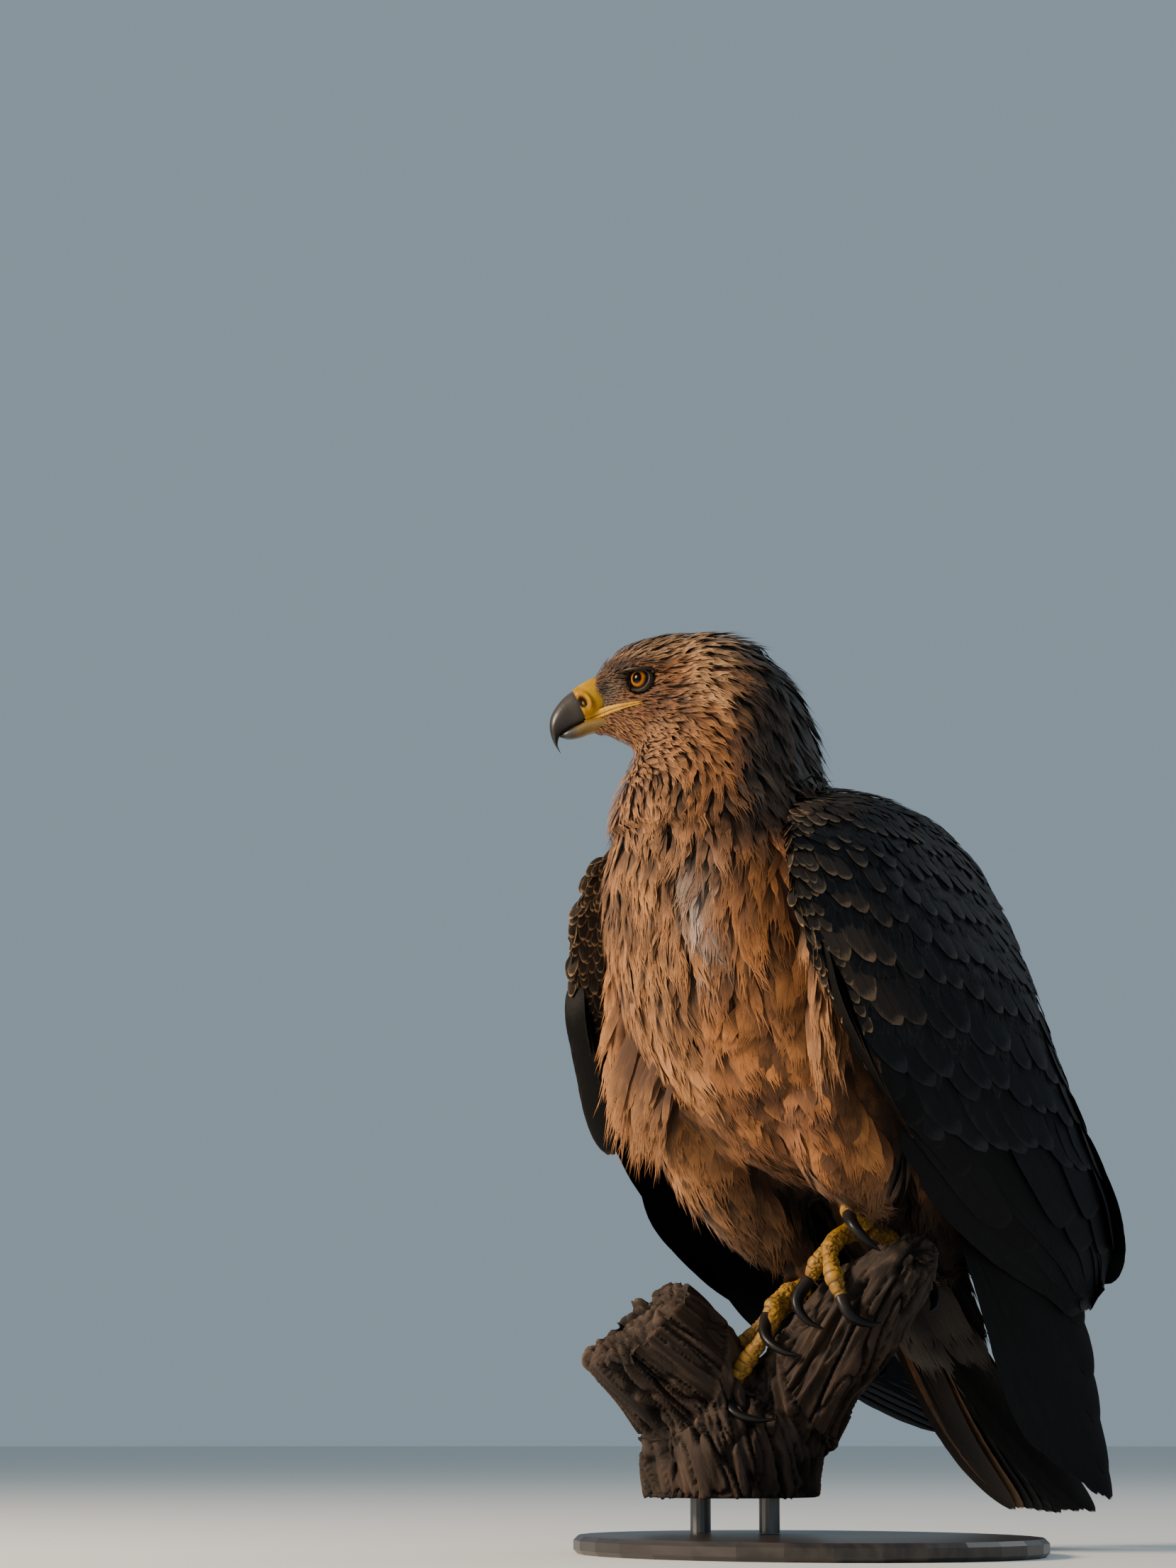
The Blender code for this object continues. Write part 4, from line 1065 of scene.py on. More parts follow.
def build_skin(settings):
    """Whole flesh as one skin, drawn in by the depth of the coat, thinner at the wings."""
    names = [*wing_nodes("left", 2), *wing_nodes("right", 2)]
    slimmed = []
    for side in SIDES:
        points, triangles = joined_nodes(wing_nodes(side, 2))
        middle = points.mean(axis=0)
        slimmed.append((middle + (points - middle) * WING_SLIMMING, triangles))
    points, triangles = body_surface(SKIN_CUBE, slimmed)
    outs = outward(points, triangles)
    points = points - outs * (coat_depth(points) + SKIN_GAP)[:, None]
    for sign in SIDES.values():
        centre, gaze, _, _ = eye_frame(sign)
        away = points - centre
        distance = np.linalg.norm(away, axis=1)
        inward = (distance < 0.0125) & (away @ gaze > distance * math.cos(1.35))
        points[inward] = centre + away[inward] * (0.0070 / distance[inward])[:, None]
        away = points - centre
        proud = away @ gaze
        reach = np.linalg.norm(away - np.outer(proud, gaze), axis=1)
        spare = proud - np.interp(reach, (0.0070, 0.0130), (0.0005, 0.0050))
        sunk = (reach < 0.0130) & (spare > 0) & (proud < 0.014) & (away[:, 2] < 0.0055)
        points[sunk] -= np.outer(spare[sunk], gaze)
    tint, rim = coat_colours(points, outs, np.random.default_rng(SKIN_SEED), settings)
    wings = Surface(*joined_nodes(names))
    # Painted shade: the skin takes the coat's colours darkened to 0.7, as if in the coat's shadow, and turns
    # near black right under the wings.
    under = ease(np.linalg.norm(wings.nearest(points)[0] - points, axis=1), 0.012, 0.006)
    shade = mix(mix(tint, rim, 0.25) * 0.7, paint(28, 24, 22), under)
    add_piece("skin", points, triangles, skin_finish(), {"tint": opaque(shade)}, unwrap(points),
              (*BODY_NODES, *names))


def build_coat(settings):
    """Coat of head, neck, body and legs over the fused flesh, one feather per scattered root."""
    rng = np.random.default_rng(settings.seed)
    surface = Surface(*body_surface(BODY_CUBE))
    beak = Surface(*beak_surface())
    wings = Surface(*joined_nodes([*wing_nodes("left"), *wing_nodes("right")]))
    eyes = [eye_frame(sign) for sign in SIDES.values()]

    def bare(points):
        """Inside the bill or cere, between the lids, or right under a wing."""
        spot, out = beak.nearest(points)
        inside = ((points - spot) * out).sum(axis=1) < 0.0004
        inside &= np.linalg.norm(points - spot, axis=1) < 0.02
        for centre, gaze, _, _ in eyes:
            away = points - centre
            inside |= (unit(away) @ gaze > math.cos(0.82)) & (np.linalg.norm(away, axis=1) < 0.0125)
        return inside

    def spacing(points):
        """Gap between roots: a share of the feathers' length that falls as they get longer."""
        length = feather_length(points)
        return length * np.interp(length, (0.004, 0.012, 0.040), (0.26, 0.165, 0.122))

    roots = scatter(surface, spacing, lambda p: np.ones(len(p), bool), rng)
    roots = roots[~bare(roots)]
    _, out = surface.nearest(roots)
    hidden = []
    for place, way in zip((roots - out * 0.004).tolist(), out.tolist()):
        hit = wings.tree.ray_cast(place, way, 0.035)
        hidden.append(hit[0] is not None and hit[3] > 0.010)
    spot, over = wings.nearest(roots)
    inside = (((roots - spot) * over).sum(axis=1) < -0.006) & (np.linalg.norm(roots - spot, axis=1) < 0.02)
    keep = ~(np.array(hidden) | inside)
    roots, out = roots[keep], out[keep]
    length = feather_length(roots) * rng.uniform(0.72, 1.28, len(roots))
    beside = np.linalg.norm(roots - wings.nearest(roots)[0], axis=1)
    length = length * (1 - 0.5 * ease(beside, 0.014, 0.007) * ease(roots[:, 2], 0.475, 0.490))
    turn = rng.normal(0, 0.16, len(roots))
    spots, outs = follow(surface, roots, length, COAT_STEPS, lie_of_coat, turn)
    clear = ~bare(spots.reshape(-1, 3)).reshape(spots.shape[:2])[:, 1:].any(axis=1)
    bend = unit(spots[:, 1] - spots[:, 0]) * unit(spots[:, -1] - spots[:, -2])
    clear &= (bend.sum(axis=1) > 0.3) | (length < 0.012)
    roots, out, length, spots, outs = (rows[clear] for rows in (roots, out, length, spots, outs))
    t = np.linspace(0, 1, COAT_STEPS)
    depth = coat_depth(roots)
    tuft = ease(noise(roots * 55, 17), 0.55, 0.75) * ease(length, 0.008, 0.020)
    ahead, _, high = in_head(roots)
    ruff = ease(ahead, -0.030, -0.055) * ease(high, -0.10, -0.06)
    rise = depth * (rng.uniform(0.0, 0.28, len(roots)) + 0.50 * tuft)
    rise = rise * (1 + 1.1 * ruff * rng.random(len(roots)))
    height = -depth[:, None] * (1 - t) ** 1.3 + rise[:, None] * t ** 2
    spots = spots + outs * height[..., None]
    tint, rim = coat_colours(roots, out, rng, settings)
    away = far_from(roots, FACE_MIDDLE)
    low = roots[:, 2] < 0.27
    groups = {"face": away < FACE_REACH, "hackle": (away >= FACE_REACH) & (away < HACKLE_REACH) & ~low}
    groups["plume"] = low & ~groups["face"]
    groups["body"] = ~(groups["face"] | groups["hackle"] | groups["plume"])
    finish = feather_finish("tawny feather", 0.70, 1.3, 0.9, (0.2, 1.0), 0.2)
    for label, chosen in groups.items():
        width = length[chosen] * COAT_WIDTHS[label] * rng.uniform(0.8, 1.2, chosen.sum())
        made = vanes(CUTS[label], spots[chosen], outs[chosen], width, rng, roll=0.1)
        add_feathers(f"coat_{label}", [(made, roots[chosen], tint[chosen], rim[chosen])], finish)
    build_plumes(finish)


def build_plumes(finish):
    """Long loose plumes hanging from the flanks over the wings' inner sides and the thighs.

    Each starts on the flank, stands off it a little and hangs straight down, swinging slightly.
    """
    rng = np.random.default_rng(FLANK_SEED)
    surface = Surface(*body_surface(PLUME_CUBE))
    batches = []
    for sign, count, lowest, light in FLANK_PLUMES:
        share = rng.uniform(0.0, lowest, count)
        start = read_curve(np.array(FLANK_LINE) * (sign, 1, 1), share)
        roots, out = surface.nearest(start + rng.normal(0, 0.007, start.shape))
        normal, out = out, unit(out * 0.4 + np.array((-0.45 * sign, -0.9, 0.0)))
        length = np.interp(share, (0, 0.3, 0.5, 1), (0.060, 0.085, 0.075, 0.050))
        length = length * rng.uniform(0.7, 1.1, count)
        way = unit(np.array((0.05 * sign, -0.02, -1.0)) + rng.normal(0, 0.05, roots.shape))
        t = np.linspace(0, 1, PLUME_STEPS)[:, None]
        sunk = normal[:, None] * 0.012 * (1 - t) ** 2
        stand = out[:, None] * (0.004 * np.sin(t * 2.2) - 0.001)
        swing = rng.normal(0, 0.003, roots.shape)[:, None] * t ** 2
        spots = roots[:, None] + way[:, None] * length[:, None, None] * t - sunk + stand + swing
        outs = np.broadcast_to(out[:, None], spots.shape)
        made = vanes(CUTS["plume"], spots, outs, length * rng.uniform(0.07, 0.11, count), rng, roll=0.1)
        # The left flank's plumes are darker as painted shade; the rest is random tone.
        light = rng.normal(light, 0.15, (count, 1))
        batches.append((made, roots, mix(paint(112, 72, 40), paint(80, 53, 33), share) * light,
                        mix(paint(168, 114, 66), paint(132, 90, 54), share) * light))
    add_feathers("coat_flank", batches, finish)


def beak_surface():
    """Cere and bill as one set of triangles."""
    return join_lots([head_tube(sizes, 24, 24) for sizes in (CERE_SIZES, BILL_SIZES, JAW_SIZES)])


def eye_frame(sign):
    """Middle of an eye, its gaze, and the forward and upward directions square to the gaze."""
    centre = HEAD + HEAD_SIDE * ((EYE_OUT - 0.0002) * sign) - HEAD_AHEAD * 0.0036
    gaze = unit(HEAD_SIDE * sign + HEAD_AHEAD * GAZE_AHEAD)
    high = unit(UP - gaze * gaze[2])
    ahead = np.cross(high, gaze) if sign > 0 else np.cross(gaze, high)
    return centre, gaze, ahead if ahead @ HEAD_AHEAD > 0 else -ahead, high


def build_eyes(settings):
    """Eyeballs with a clear bulge in front, and lids: rings from the opening out to the face.

    The opening's distance from the gaze runs smoothly from its value at the corners to those above
    and below it; the rim is rounded over and the lid falls back to the face.
    """
    eye_radius, finish = settings.eye_radius, eye_finish(settings.iris)
    # In each the second colour is the painted shade of its folds and rims.
    lid_finish = waxy_finish("eyelid", paint(58, 47, 32), paint(9, 8, 7), paint(50, 39, 26))
    brow_finish = waxy_finish("brow skin", paint(66, 52, 36), paint(20, 16, 13), paint(56, 44, 31))
    for name, sign in SIDES.items():
        centre, gaze, ahead, high = eye_frame(sign)
        polar = np.linspace(0.01, 2.4, 60)[:, None]
        turn = np.linspace(0, math.tau, 64, endpoint=False)[None, :]
        radius = eye_radius * (1 + 0.045 * bell(polar, 0, 0.62))
        across = ahead * np.cos(turn)[..., None] + high * np.sin(turn)[..., None]
        ways = gaze * np.cos(polar)[..., None] + across * np.sin(polar)[..., None]
        points, triangles = closed_tube(centre + ways * radius[..., None])
        ring = np.stack(np.broadcast_arrays(polar, np.cos(turn), np.sin(turn)), axis=-1)
        add_piece(f"eye_{name}_ball", points, triangles, finish, {"ring": with_poles(ring)},
                  replaces=(f"eye_{name}",))
        corner, above, below = EYE_OPENING
        upward = np.sin(turn)
        edge = corner + np.where(upward > 0, (above - corner) * upward ** 2, (below - corner) * upward ** 2)
        edge = edge + 0.30 * bell(np.cos(turn), 1.0, 0.30)
        step = np.linspace(0, 1, 26)[:, None]
        lift = 0.0003 + 0.0013 * ease(step, 0.0, 0.16) - 0.0026 * ease(step, 0.45, 1.0)
        crease = 0.00022 * np.cos(step * 40 + 2 * np.cos(turn)) * ease(step, 0.15, 0.3)
        spread = edge + (0.34 + 0.20 * ease(np.cos(turn), 0.3, -0.6)) * step ** 1.2
        reach = eye_radius * 1.02 + lift + crease
        ways = gaze * np.cos(spread)[..., None] + across * np.sin(spread)[..., None]
        rim = centre + ways * reach[..., None]
        ways = gaze * np.cos(edge)[..., None] + across * np.sin(edge)[..., None]
        inner = centre + ways * eye_radius * 0.97
        rings = np.concatenate([inner, rim])
        sides = rings.shape[1]
        faces = in_triangles(grid_faces(len(rings), sides, closed=True))
        corners = rings.reshape(-1, 3)[faces[sides * 20]]
        if np.cross(corners[1] - corners[0], corners[2] - corners[0]) @ (corners[0] - centre) < 0:
            faces = faces[:, ::-1]
        # Partly the lids' own dark skin, partly painted shade: darkest at the rim by the eye and in the front
        # corner.
        shade = ease(step, 0.30, 0.0) * 0.85 + bell(np.cos(turn), 1.0, 0.50)
        fold = np.concatenate([np.ones((1, sides)), np.clip(shade, 0, 1)])
        add_piece(f"eye_{name}_lids", rings.reshape(-1, 3), faces, lid_finish, {"fold": fold.ravel()})
        rings, _ = brow_rings(sign, 0.36, 0.76, 0.0013)
        points, triangles = closed_tube(rings)
        high = in_head(rings)[2]
        over = (high - high.min(axis=1, keepdims=True)) / (np.ptp(high, axis=1, keepdims=True) + 1e-9)
        back = np.linspace(0, 1, len(rings))[:, None]
        # Painted shade along the brow skin's top and toward its rear.
        fold = np.clip(ease(over, 0.45, 0.85) + ease(back, 0.25, 0.60), 0, 1)
        add_piece(f"brow_{name}", points, triangles, brow_finish, {"fold": with_poles(fold)})


def build_bill(settings):
    """Cere with pits for the nostrils, hooked upper bill, lower bill, and the yellow lips of the gape."""
    # The second colour is the painted shade in the cere's pits and folds.
    yellow = waxy_finish("cere skin", settings.cere, paint(34, 24, 6), paint(156, 106, 0))
    slate = horn_finish("upper bill horn", (
        (0.0, paint(80, 72, 64)), (0.3, paint(54, 48, 44)), (0.62, paint(29, 26, 25)),
        (1.0, paint(14, 13, 13))), 0.32, 0.22)
    jaw = horn_finish("lower bill horn", (
        (0.0, paint(150, 112, 30)), (0.50, paint(104, 84, 38)), (0.66, paint(46, 42, 37)),
        (1.0, paint(26, 24, 24))), 0.34)
    for name, sizes, finish, slot in (("cere", CERE_SIZES, yellow, "cere"),
                                      ("bill_upper", BILL_SIZES, slate, "bill"),
                                      ("bill_lower", JAW_SIZES, jaw, "bill")):
        ahead, across, high, turn = head_rings(sizes, 90, 96)
        place = np.linspace(0, 1, 90)[:, None] + 0 * turn
        fold = np.zeros_like(ahead)
        if name == "cere":
            (fore, up), slant, half_long, half_wide = NOSTRIL
            slant = unit(slant)
            run = (ahead - fore) * slant[0] + (high - up) * slant[1]
            off = (ahead - fore) * slant[1] - (high - up) * slant[0]
            away = np.sqrt((run / half_long) ** 2 + (off / half_wide) ** 2)
            knob = np.exp(-((run - 0.0010) / 0.0016) ** 2 - (off / 0.0012) ** 2)
            pit = ease(away, 1.05, 0.62) * (1 - 0.75 * knob)
            ring = bell(away, 1.62, 0.36) - 0.12 * bell(away, 2.35, 0.24)
            wrinkle = 0.00007 * np.cos((ahead + high * 0.4) * 3600) * ease(place, 0.80, 0.55)
            front = 0.0007 * ease(place, 0.99, 0.93) - 0.0004
            swell = 1 + (0.0009 * ring - 0.0026 * pit + wrinkle + front) / 0.0105
            across = across * swell
            high = high + np.where(high > -0.004, front + wrinkle, 0)
            # Painted shade in the nostril's pit, on the line round it and in the groove outside it.
            fold = np.clip(pit * 1.2 + 0.3 * bell(away, 1.0, 0.1) + 0.25 * bell(away, 2.35, 0.24), 0, 1)
        elif name == "bill_upper":
            across = across * (1 + 0.03 * bell(high, high.min(axis=1, keepdims=True), 0.0016))
        points, triangles = closed_tube(head_place(ahead, across, high))
        grow = np.stack([place, across * 100, high * 100], axis=-1)
        add_piece(f"{name}_horn" if slot == "bill" else "cere_skin", points, triangles, finish,
                  {"grow": with_poles(grow), "fold": with_poles(fold)}, replaces=(name,))
    build_lips(yellow)


def build_lips(finish):
    """Two fleshy strips each side, over and under the line of the mouth, from the bill to under the eye."""
    face = Surface(*body_surface(BODY_CUBE))
    beak = Surface(*beak_surface())
    line = spline(MOUTH_LINE, 44)
    share = np.linspace(0, 1, 44)
    for name, sign in SIDES.items():
        for lip, drop, radii in LIP_RADII:
            thick = np.interp(share, LIP_PLACES, radii)
            high = line[:, 1] + drop * (thick + 0.0001)
            wide = []
            for ahead, up in zip(line[:, 0], high):
                start = head_place(ahead, 0.05 * sign, up).tolist()
                hits = [hit[0] for hit in (surface.tree.ray_cast(start, (-HEAD_SIDE * sign).tolist())
                                           for surface in (face, beak)) if hit[0] is not None]
                wide.append(max(abs(in_head(np.array(hit))[1]) for hit in hits))
            wide = np.convolve(np.pad(wide, 5, mode="edge"), np.ones(11) / 11, mode="valid")
            centres = head_place(line[:, 0], (wide - 0.0004) * sign, high)
            rings, _ = along_tube(centres, thick, 18, unit(HEAD_SIDE * sign), 0.45)
            ripple = 1 + 0.05 * np.cos(share * 90)[:, None, None] * ease(share, 0.2, 0.4)[:, None, None]
            rings = centres[:, None] + (rings - centres[:, None]) * ripple
            points, triangles = closed_tube(rings)
            # Painted shade at the rear end of each lip, in the corner of the mouth.
            fold = np.broadcast_to(ease(share, 0.92, 1.0)[:, None], rings.shape[:2])
            add_piece(f"gape_{name}_{lip}", points, triangles, finish, {"fold": with_poles(fold)})


def limb_path(places, count):
    """Path given round the gripped limb, read at count places, and its directions away from the limb."""
    rows = spline(places, count)
    centres = on_limb(rows[:, 0:1], rows[:, 1:2], rows[:, 2:3])
    away = centres - LIMB_START
    return centres, unit(away - LIMB_ALONG * (away @ LIMB_ALONG)[:, None])


def build_feet(settings):
    """Toes with scutes over their tops and pads beneath, a knuckle, and curved claws.

    A toe's girth runs through a few widths and swells at its pads. Toward its claw, folds every
    few millimetres cross its top; behind them pebbles cover it. A claw tapers by (1 - x^1.5)^0.8.
    """
    # The second colour is the painted shade in the toes' creases.
    skin = waxy_finish("toe skin", settings.toe, paint(86, 62, 30), paint(128, 94, 40))
    horn = horn_finish("claw horn", ((0.0, paint(44, 38, 34)), (0.25, paint(18, 16, 16)),
                                     (1.0, paint(9, 9, 10))), 0.34, 0.12)
    for side in SIDES:
        for name, places in TOE_PLACES[side].items():
            centres, out = limb_path(places, 96)
            length = run_along(centres)
            share = length / length[-1]
            girth = settings.toe_radius * np.interp(share, *TOE_GIRTHS)
            girth = girth * (1 + 0.13 * np.cos(share * math.tau * 2.6))
            rings, turn = along_tube(centres, girth, 52, out, 0.95)
            length = length[:, None] * 1000
            pad = ease(np.sin(turn), -0.2, -0.7)
            wave = np.abs(np.sin(length / 3.4 * math.pi / 2))
            scaly = ease(np.sin(turn), 0.05, 0.55) * ease(share, 0.50, 0.72)[:, None]
            pebble = ease(np.abs(noise(rings * 620, 41) - 0.5), 0.02, 0.16)
            height = (scaly * (wave ** 0.45 * 0.0008) + (1 - scaly) * 0.0008 * pebble
                      + pad * 0.0009 * (0.5 + 0.5 * np.cos(length / 9 * math.tau)))
            rings = rings + unit(rings - centres[:, None]) * height[..., None]
            # Painted shade in the creases between the scutes and between the pebbles.
            fold = scaly * ease(wave, 0.42, 0.12) + (1 - scaly) * (0.75 - 0.75 * pebble)
            points, triangles = closed_tube(rings)
            add_piece(f"toe_{side}_{name}", points, triangles, skin,
                      {"fold": with_poles(np.clip(fold, 0, 1))}, replaces=(f"foot_{side}",))
        for name, places in CLAW_PLACES[side].items():
            centres, out = limb_path(places, 50)
            share = np.linspace(0, 1, 50)
            girth = CLAW_RADIUS * (1 - share ** 1.5) ** 0.8 + 0.00012
            rings, turn = along_tube(centres, girth, 32, out, 1.12)
            points, triangles = closed_tube(rings)
            grow = np.stack(np.broadcast_arrays(share[:, None], np.cos(turn), np.sin(turn)), axis=-1)
            add_piece(f"talon_{side}_{name}", points, triangles, horn, {"grow": with_poles(grow)},
                      replaces=(f"claw_{side}_{name}",))


def grain_of(points):
    """Places in the wood's grain: along the nearest limb, and across it with a slow twist."""
    best = np.full(len(points), 1e9)
    grain = np.zeros((len(points), 3))
    for number, (start, end, radius) in enumerate(LIMB_AXES):
        way = np.array(end) - np.array(start)
        size = np.linalg.norm(way)
        along = (points - start) @ unit(way)
        foot = start + unit(way) * np.clip(along, 0, size)[:, None]
        away = np.linalg.norm(points - foot, axis=1) / radius
        side = unit(np.cross(way, (0.3, 0.9, 0.1)))
        other = np.cross(unit(way), side)
        rel = points - start - unit(way) * along[:, None]
        spin = along * 5.0
        first, second = rel @ side, rel @ other
        turned = np.stack([along + number * 0.7, first * np.cos(spin) - second * np.sin(spin),
                           first * np.sin(spin) + second * np.cos(spin)], axis=1)
        near = away < best
        best[near], grain[near] = away[near], turned[near]
    return grain


def build_perch(settings):
    """Branch: its node merged, remeshed finely and furrowed along its nearest limb.

    Furrows are noise that runs long along the limb and short round it, with a twist, and split knots.
    """
    points, triangles = fused(("perch",), BARK_CUBE)
    outs = outward(points, triangles)
    grain = grain_of(points)
    stretch = np.array((13.0, 95.0, 95.0))
    coarse = noise(grain * stretch * 0.55, 21)
    middle = noise(grain * stretch * 1.3 + 9, 22)
    fine = noise(grain * stretch * (1.2, 3.2, 3.2) + 5, 23)
    crack = ease(np.abs(middle - 0.5), 0.09, 0.0)
    lump = noise(points * 26, 24) - 0.5
    sawn = ease(outs[:, 2], -0.8, -0.95) * ease(points[:, 2], 0.040, 0.037)
    torn = ease(np.abs(noise(grain * (22, 150, 150) + 3, 25) - 0.5), 0.07, 0.0)
    height = (0.0080 * (coarse - 0.5) + 0.0040 * (middle - 0.5) + 0.0036 * (fine - 0.5) - 0.0066 * crack
              - 0.0040 * torn + 0.009 * lump)
    # Painted shade: depth is lowest in the cracks and tears and highest on the ridges, where it is partly
    # painted highlight.
    depth = np.clip(0.5 + (coarse - 0.5) * 0.5 + (fine - 0.5) * 0.6 - crack * 0.45 - torn * 0.3, 0, 1)
    points = points + outs * (height * (1 - sawn))[:, None]
    add_piece("branch", points, triangles, bark_finish(settings.bark),
              {"grain": grain, "depth": depth}, replaces=("perch",))


# ---------------------------------------------------------------------------------------------
# Wings and tail


class Chart:
    """Sheet laid over a folded wing: q runs down it from 0 to 1, u from its front edge to its rear.

    Level rays from outside find the wing's outer face at many heights. Each level's outline is read
    at even lengths, smoothed from level to level, and the levels are spaced evenly by length.
    """

    def __init__(self, side):
        sign = SIDES[side]
        surface = Surface(*fused(wing_nodes(side), WING_CUBE, 6))
        low, high = surface.points.min(axis=0), surface.points.max(axis=0)
        levels = np.linspace(high[2] - 0.004, low[2] + 0.004, 56)
        rows = []
        for level in levels:
            band = surface.points[np.abs(surface.points[:, 2] - level) < 0.006]
            middle = np.array(((band[:, 0].min() if sign > 0 else band[:, 0].max()) - 0.02 * sign,
                               (band[:, 1].min() + band[:, 1].max()) / 2, level))
            hits = []
            for angle in np.radians(np.linspace(-100, 100, 121)):
                way = np.array((math.cos(angle) * sign, math.sin(angle), 0.0))
                hit = surface.tree.ray_cast((middle + way * 0.3).tolist(), (-way).tolist(), 0.3)
                if hit[0] is not None:
                    hits.append(hit[0])
            hits = np.array(hits)
            length = run_along(hits)
            rows.append(read_between(np.linspace(0.005, 0.97, 40) * length[-1], length, hits))
        grid = np.array(rows)
        for _ in range(10):
            padded = np.pad(grid, ((1, 1), (1, 1), (0, 0)), mode="edge")
            inner = (padded[:-2, 1:-1] + padded[2:, 1:-1] + padded[1:-1, :-2] + padded[1:-1, 2:]) / 4
            grid[1:-1, 1:-1] = (0.5 * grid + 0.5 * inner)[1:-1, 1:-1]
            grid[1:-1, [0, -1]] = (0.5 * grid[1:-1] + 0.25 * (grid[:-2] + grid[2:]))[:, [0, -1]]
        steps = np.linalg.norm(np.diff(grid, axis=0), axis=2).mean(axis=1)
        place = np.concatenate([[0], np.cumsum(steps)])
        self.length = place[-1]
        even = np.interp(np.linspace(0, 1, 70) * place[-1], place, np.arange(len(place)))
        whole = np.minimum(even.astype(int), len(grid) - 2)
        self.grid = mix(grid[whole], grid[whole + 1], (even - whole)[:, None])
        self.widths = np.linalg.norm(np.diff(self.grid, axis=1), axis=2).sum(axis=1)
        out = unit(np.cross(np.gradient(self.grid, axis=0), np.gradient(self.grid, axis=1)))
        self.outs = out if (out[..., 0] * sign).mean() > 0 else -out
        self.sign, self.surface = sign, surface

    def depth_of(self, heights):
        """How far down the front edge these heights lie, from 0 to 1."""
        return np.interp(-heights, -self.grid[:, 0, 2], np.linspace(0, 1, len(self.grid)))

    def read(self, table, q, u):
        """Table's values at q and u, straight between its knots, carried on past its ends."""
        down, across = q * (table.shape[0] - 1), np.clip(u, 0, 1) * (table.shape[1] - 1)
        row = np.clip(down.astype(int), 0, table.shape[0] - 2)
        column = np.clip(across.astype(int), 0, table.shape[1] - 2)
        first, second = (mix(table[line, column], table[line, column + 1], across - column)
                         for line in (row, row + 1))
        return mix(first, second, down - row)

    def spines(self, tip_q, tip_u, lengths, lean, lift):
        """Spines that end at these places: they run down the chart and lean toward the rear edge.

        Each starts `lift[0]` over the sheet and ends `lift[1]` over it.
        """
        t = np.linspace(0, 1, 9)
        q = tip_q[:, None] - (1 - t) * (lengths / self.length)[:, None]
        width = np.interp(np.clip(tip_q, 0, 1), np.linspace(0, 1, len(self.widths)), self.widths)
        u = tip_u[:, None] - (1 - t) * (lengths * np.tan(lean) / width)[:, None]
        spots = self.read(self.grid, q, u)
        outs = unit(self.read(self.outs, np.clip(q, 0, 1), u))
        height = lift[0] + (lift[1] - lift[0]) * t
        return spots + outs * height[..., None], outs


# Rows down the wing: tips' q at the front, middle and rear; span of u; count; length at the front
# and rear; half width; lean; kind
COVERT_ROWS = (
    ((1.00, 1.02, 0.98), (0.10, 0.95), 16, (0.140, 0.150), 0.0175, 0.08, "secondary"),
    ((0.84, 0.87, 0.90), (0.45, 0.97), 7, (0.120, 0.120), 0.0175, 0.08, "secondary"),
    ((0.66, 0.70, 0.75), (0.10, 0.88), 13, (0.080, 0.082), 0.0165, 0.10, "greater"),
    ((0.56, 0.60, 0.66), (0.09, 0.86), 14, (0.064, 0.064), 0.0150, 0.12, "greater"),
    ((0.46, 0.51, 0.58), (0.07, 0.86), 14, (0.052, 0.052), 0.0145, 0.12, "median"),
    ((0.37, 0.43, 0.51), (0.06, 0.82), 15, (0.044, 0.044), 0.0125, 0.12, "lesser"),
    ((0.29, 0.36, 0.44), (0.05, 0.80), 17, (0.037, 0.037), 0.0108, 0.12, "lesser"),
    ((0.23, 0.30, 0.37), (0.04, 0.80), 19, (0.031, 0.031), 0.0092, 0.12, "lesser"),
    ((0.175, 0.24, 0.30), (0.03, 0.80), 22, (0.027, 0.027), 0.0080, 0.12, "lesser"),
    ((0.125, 0.185, 0.24), (0.015, 0.80), 24, (0.024, 0.024), 0.0070, 0.12, "marginal"),
    ((0.08, 0.13, 0.18), (0.015, 0.80), 24, (0.021, 0.021), 0.0064, 0.12, "marginal"),
    ((0.04, 0.08, 0.12), (0.015, 0.85), 24, (0.019, 0.019), 0.0060, 0.12, "marginal"))
# Small neat feathers along the front edge: tips' q and u
RIM_ROWS = tuple((q, u) for q in np.arange(0.05, 0.50, 0.026) for u in (0.0, 0.018, 0.038))
# Long feathers down the front edge: the alula over the outer edge of the primary coverts
#            tip heights, span of u, length, half width
EDGE_ROWS = (((0.215, 0.200, 0.185, 0.175), (0.10, 0.20), 0.130, 0.0125),
             ((0.290, 0.276, 0.262, 0.246), (0.04, 0.10), 0.105, 0.0100))
# Blades before the front edge: tip height, length, half width
EDGE_BLADES = ((0.266, 0.105, 0.0105), (0.287, 0.092, 0.0095), (0.312, 0.072, 0.0082))
# Scapulars along the rear edge: u, then the tips' q
SCAPULAR_ROWS = ((0.97, (0.24, 0.34, 0.44, 0.54, 0.66, 0.78)), (0.90, (0.18, 0.28, 0.38, 0.48, 0.60)),
                 (0.84, (0.13, 0.22, 0.31, 0.40, 0.50)))
WING_COLOURS = {   # middle, rim
    "secondary": ((14, 15, 18), (22, 24, 27)), "greater": ((15, 17, 21), (33, 36, 40)),
    "median": ((18, 20, 24), (40, 41, 43)), "lesser": ((22, 23, 26), (48, 47, 46)),
    "marginal": ((34, 30, 28), (66, 56, 48)), "flight": ((13, 13, 15), (22, 21, 22)),
    "scapular": ((17, 17, 18), (34, 33, 33)), "inner": ((60, 47, 38), (104, 82, 60)),
    "rim": ((48, 40, 34), (146, 116, 82)), "blade": ((8, 8, 8), (46, 36, 29))}


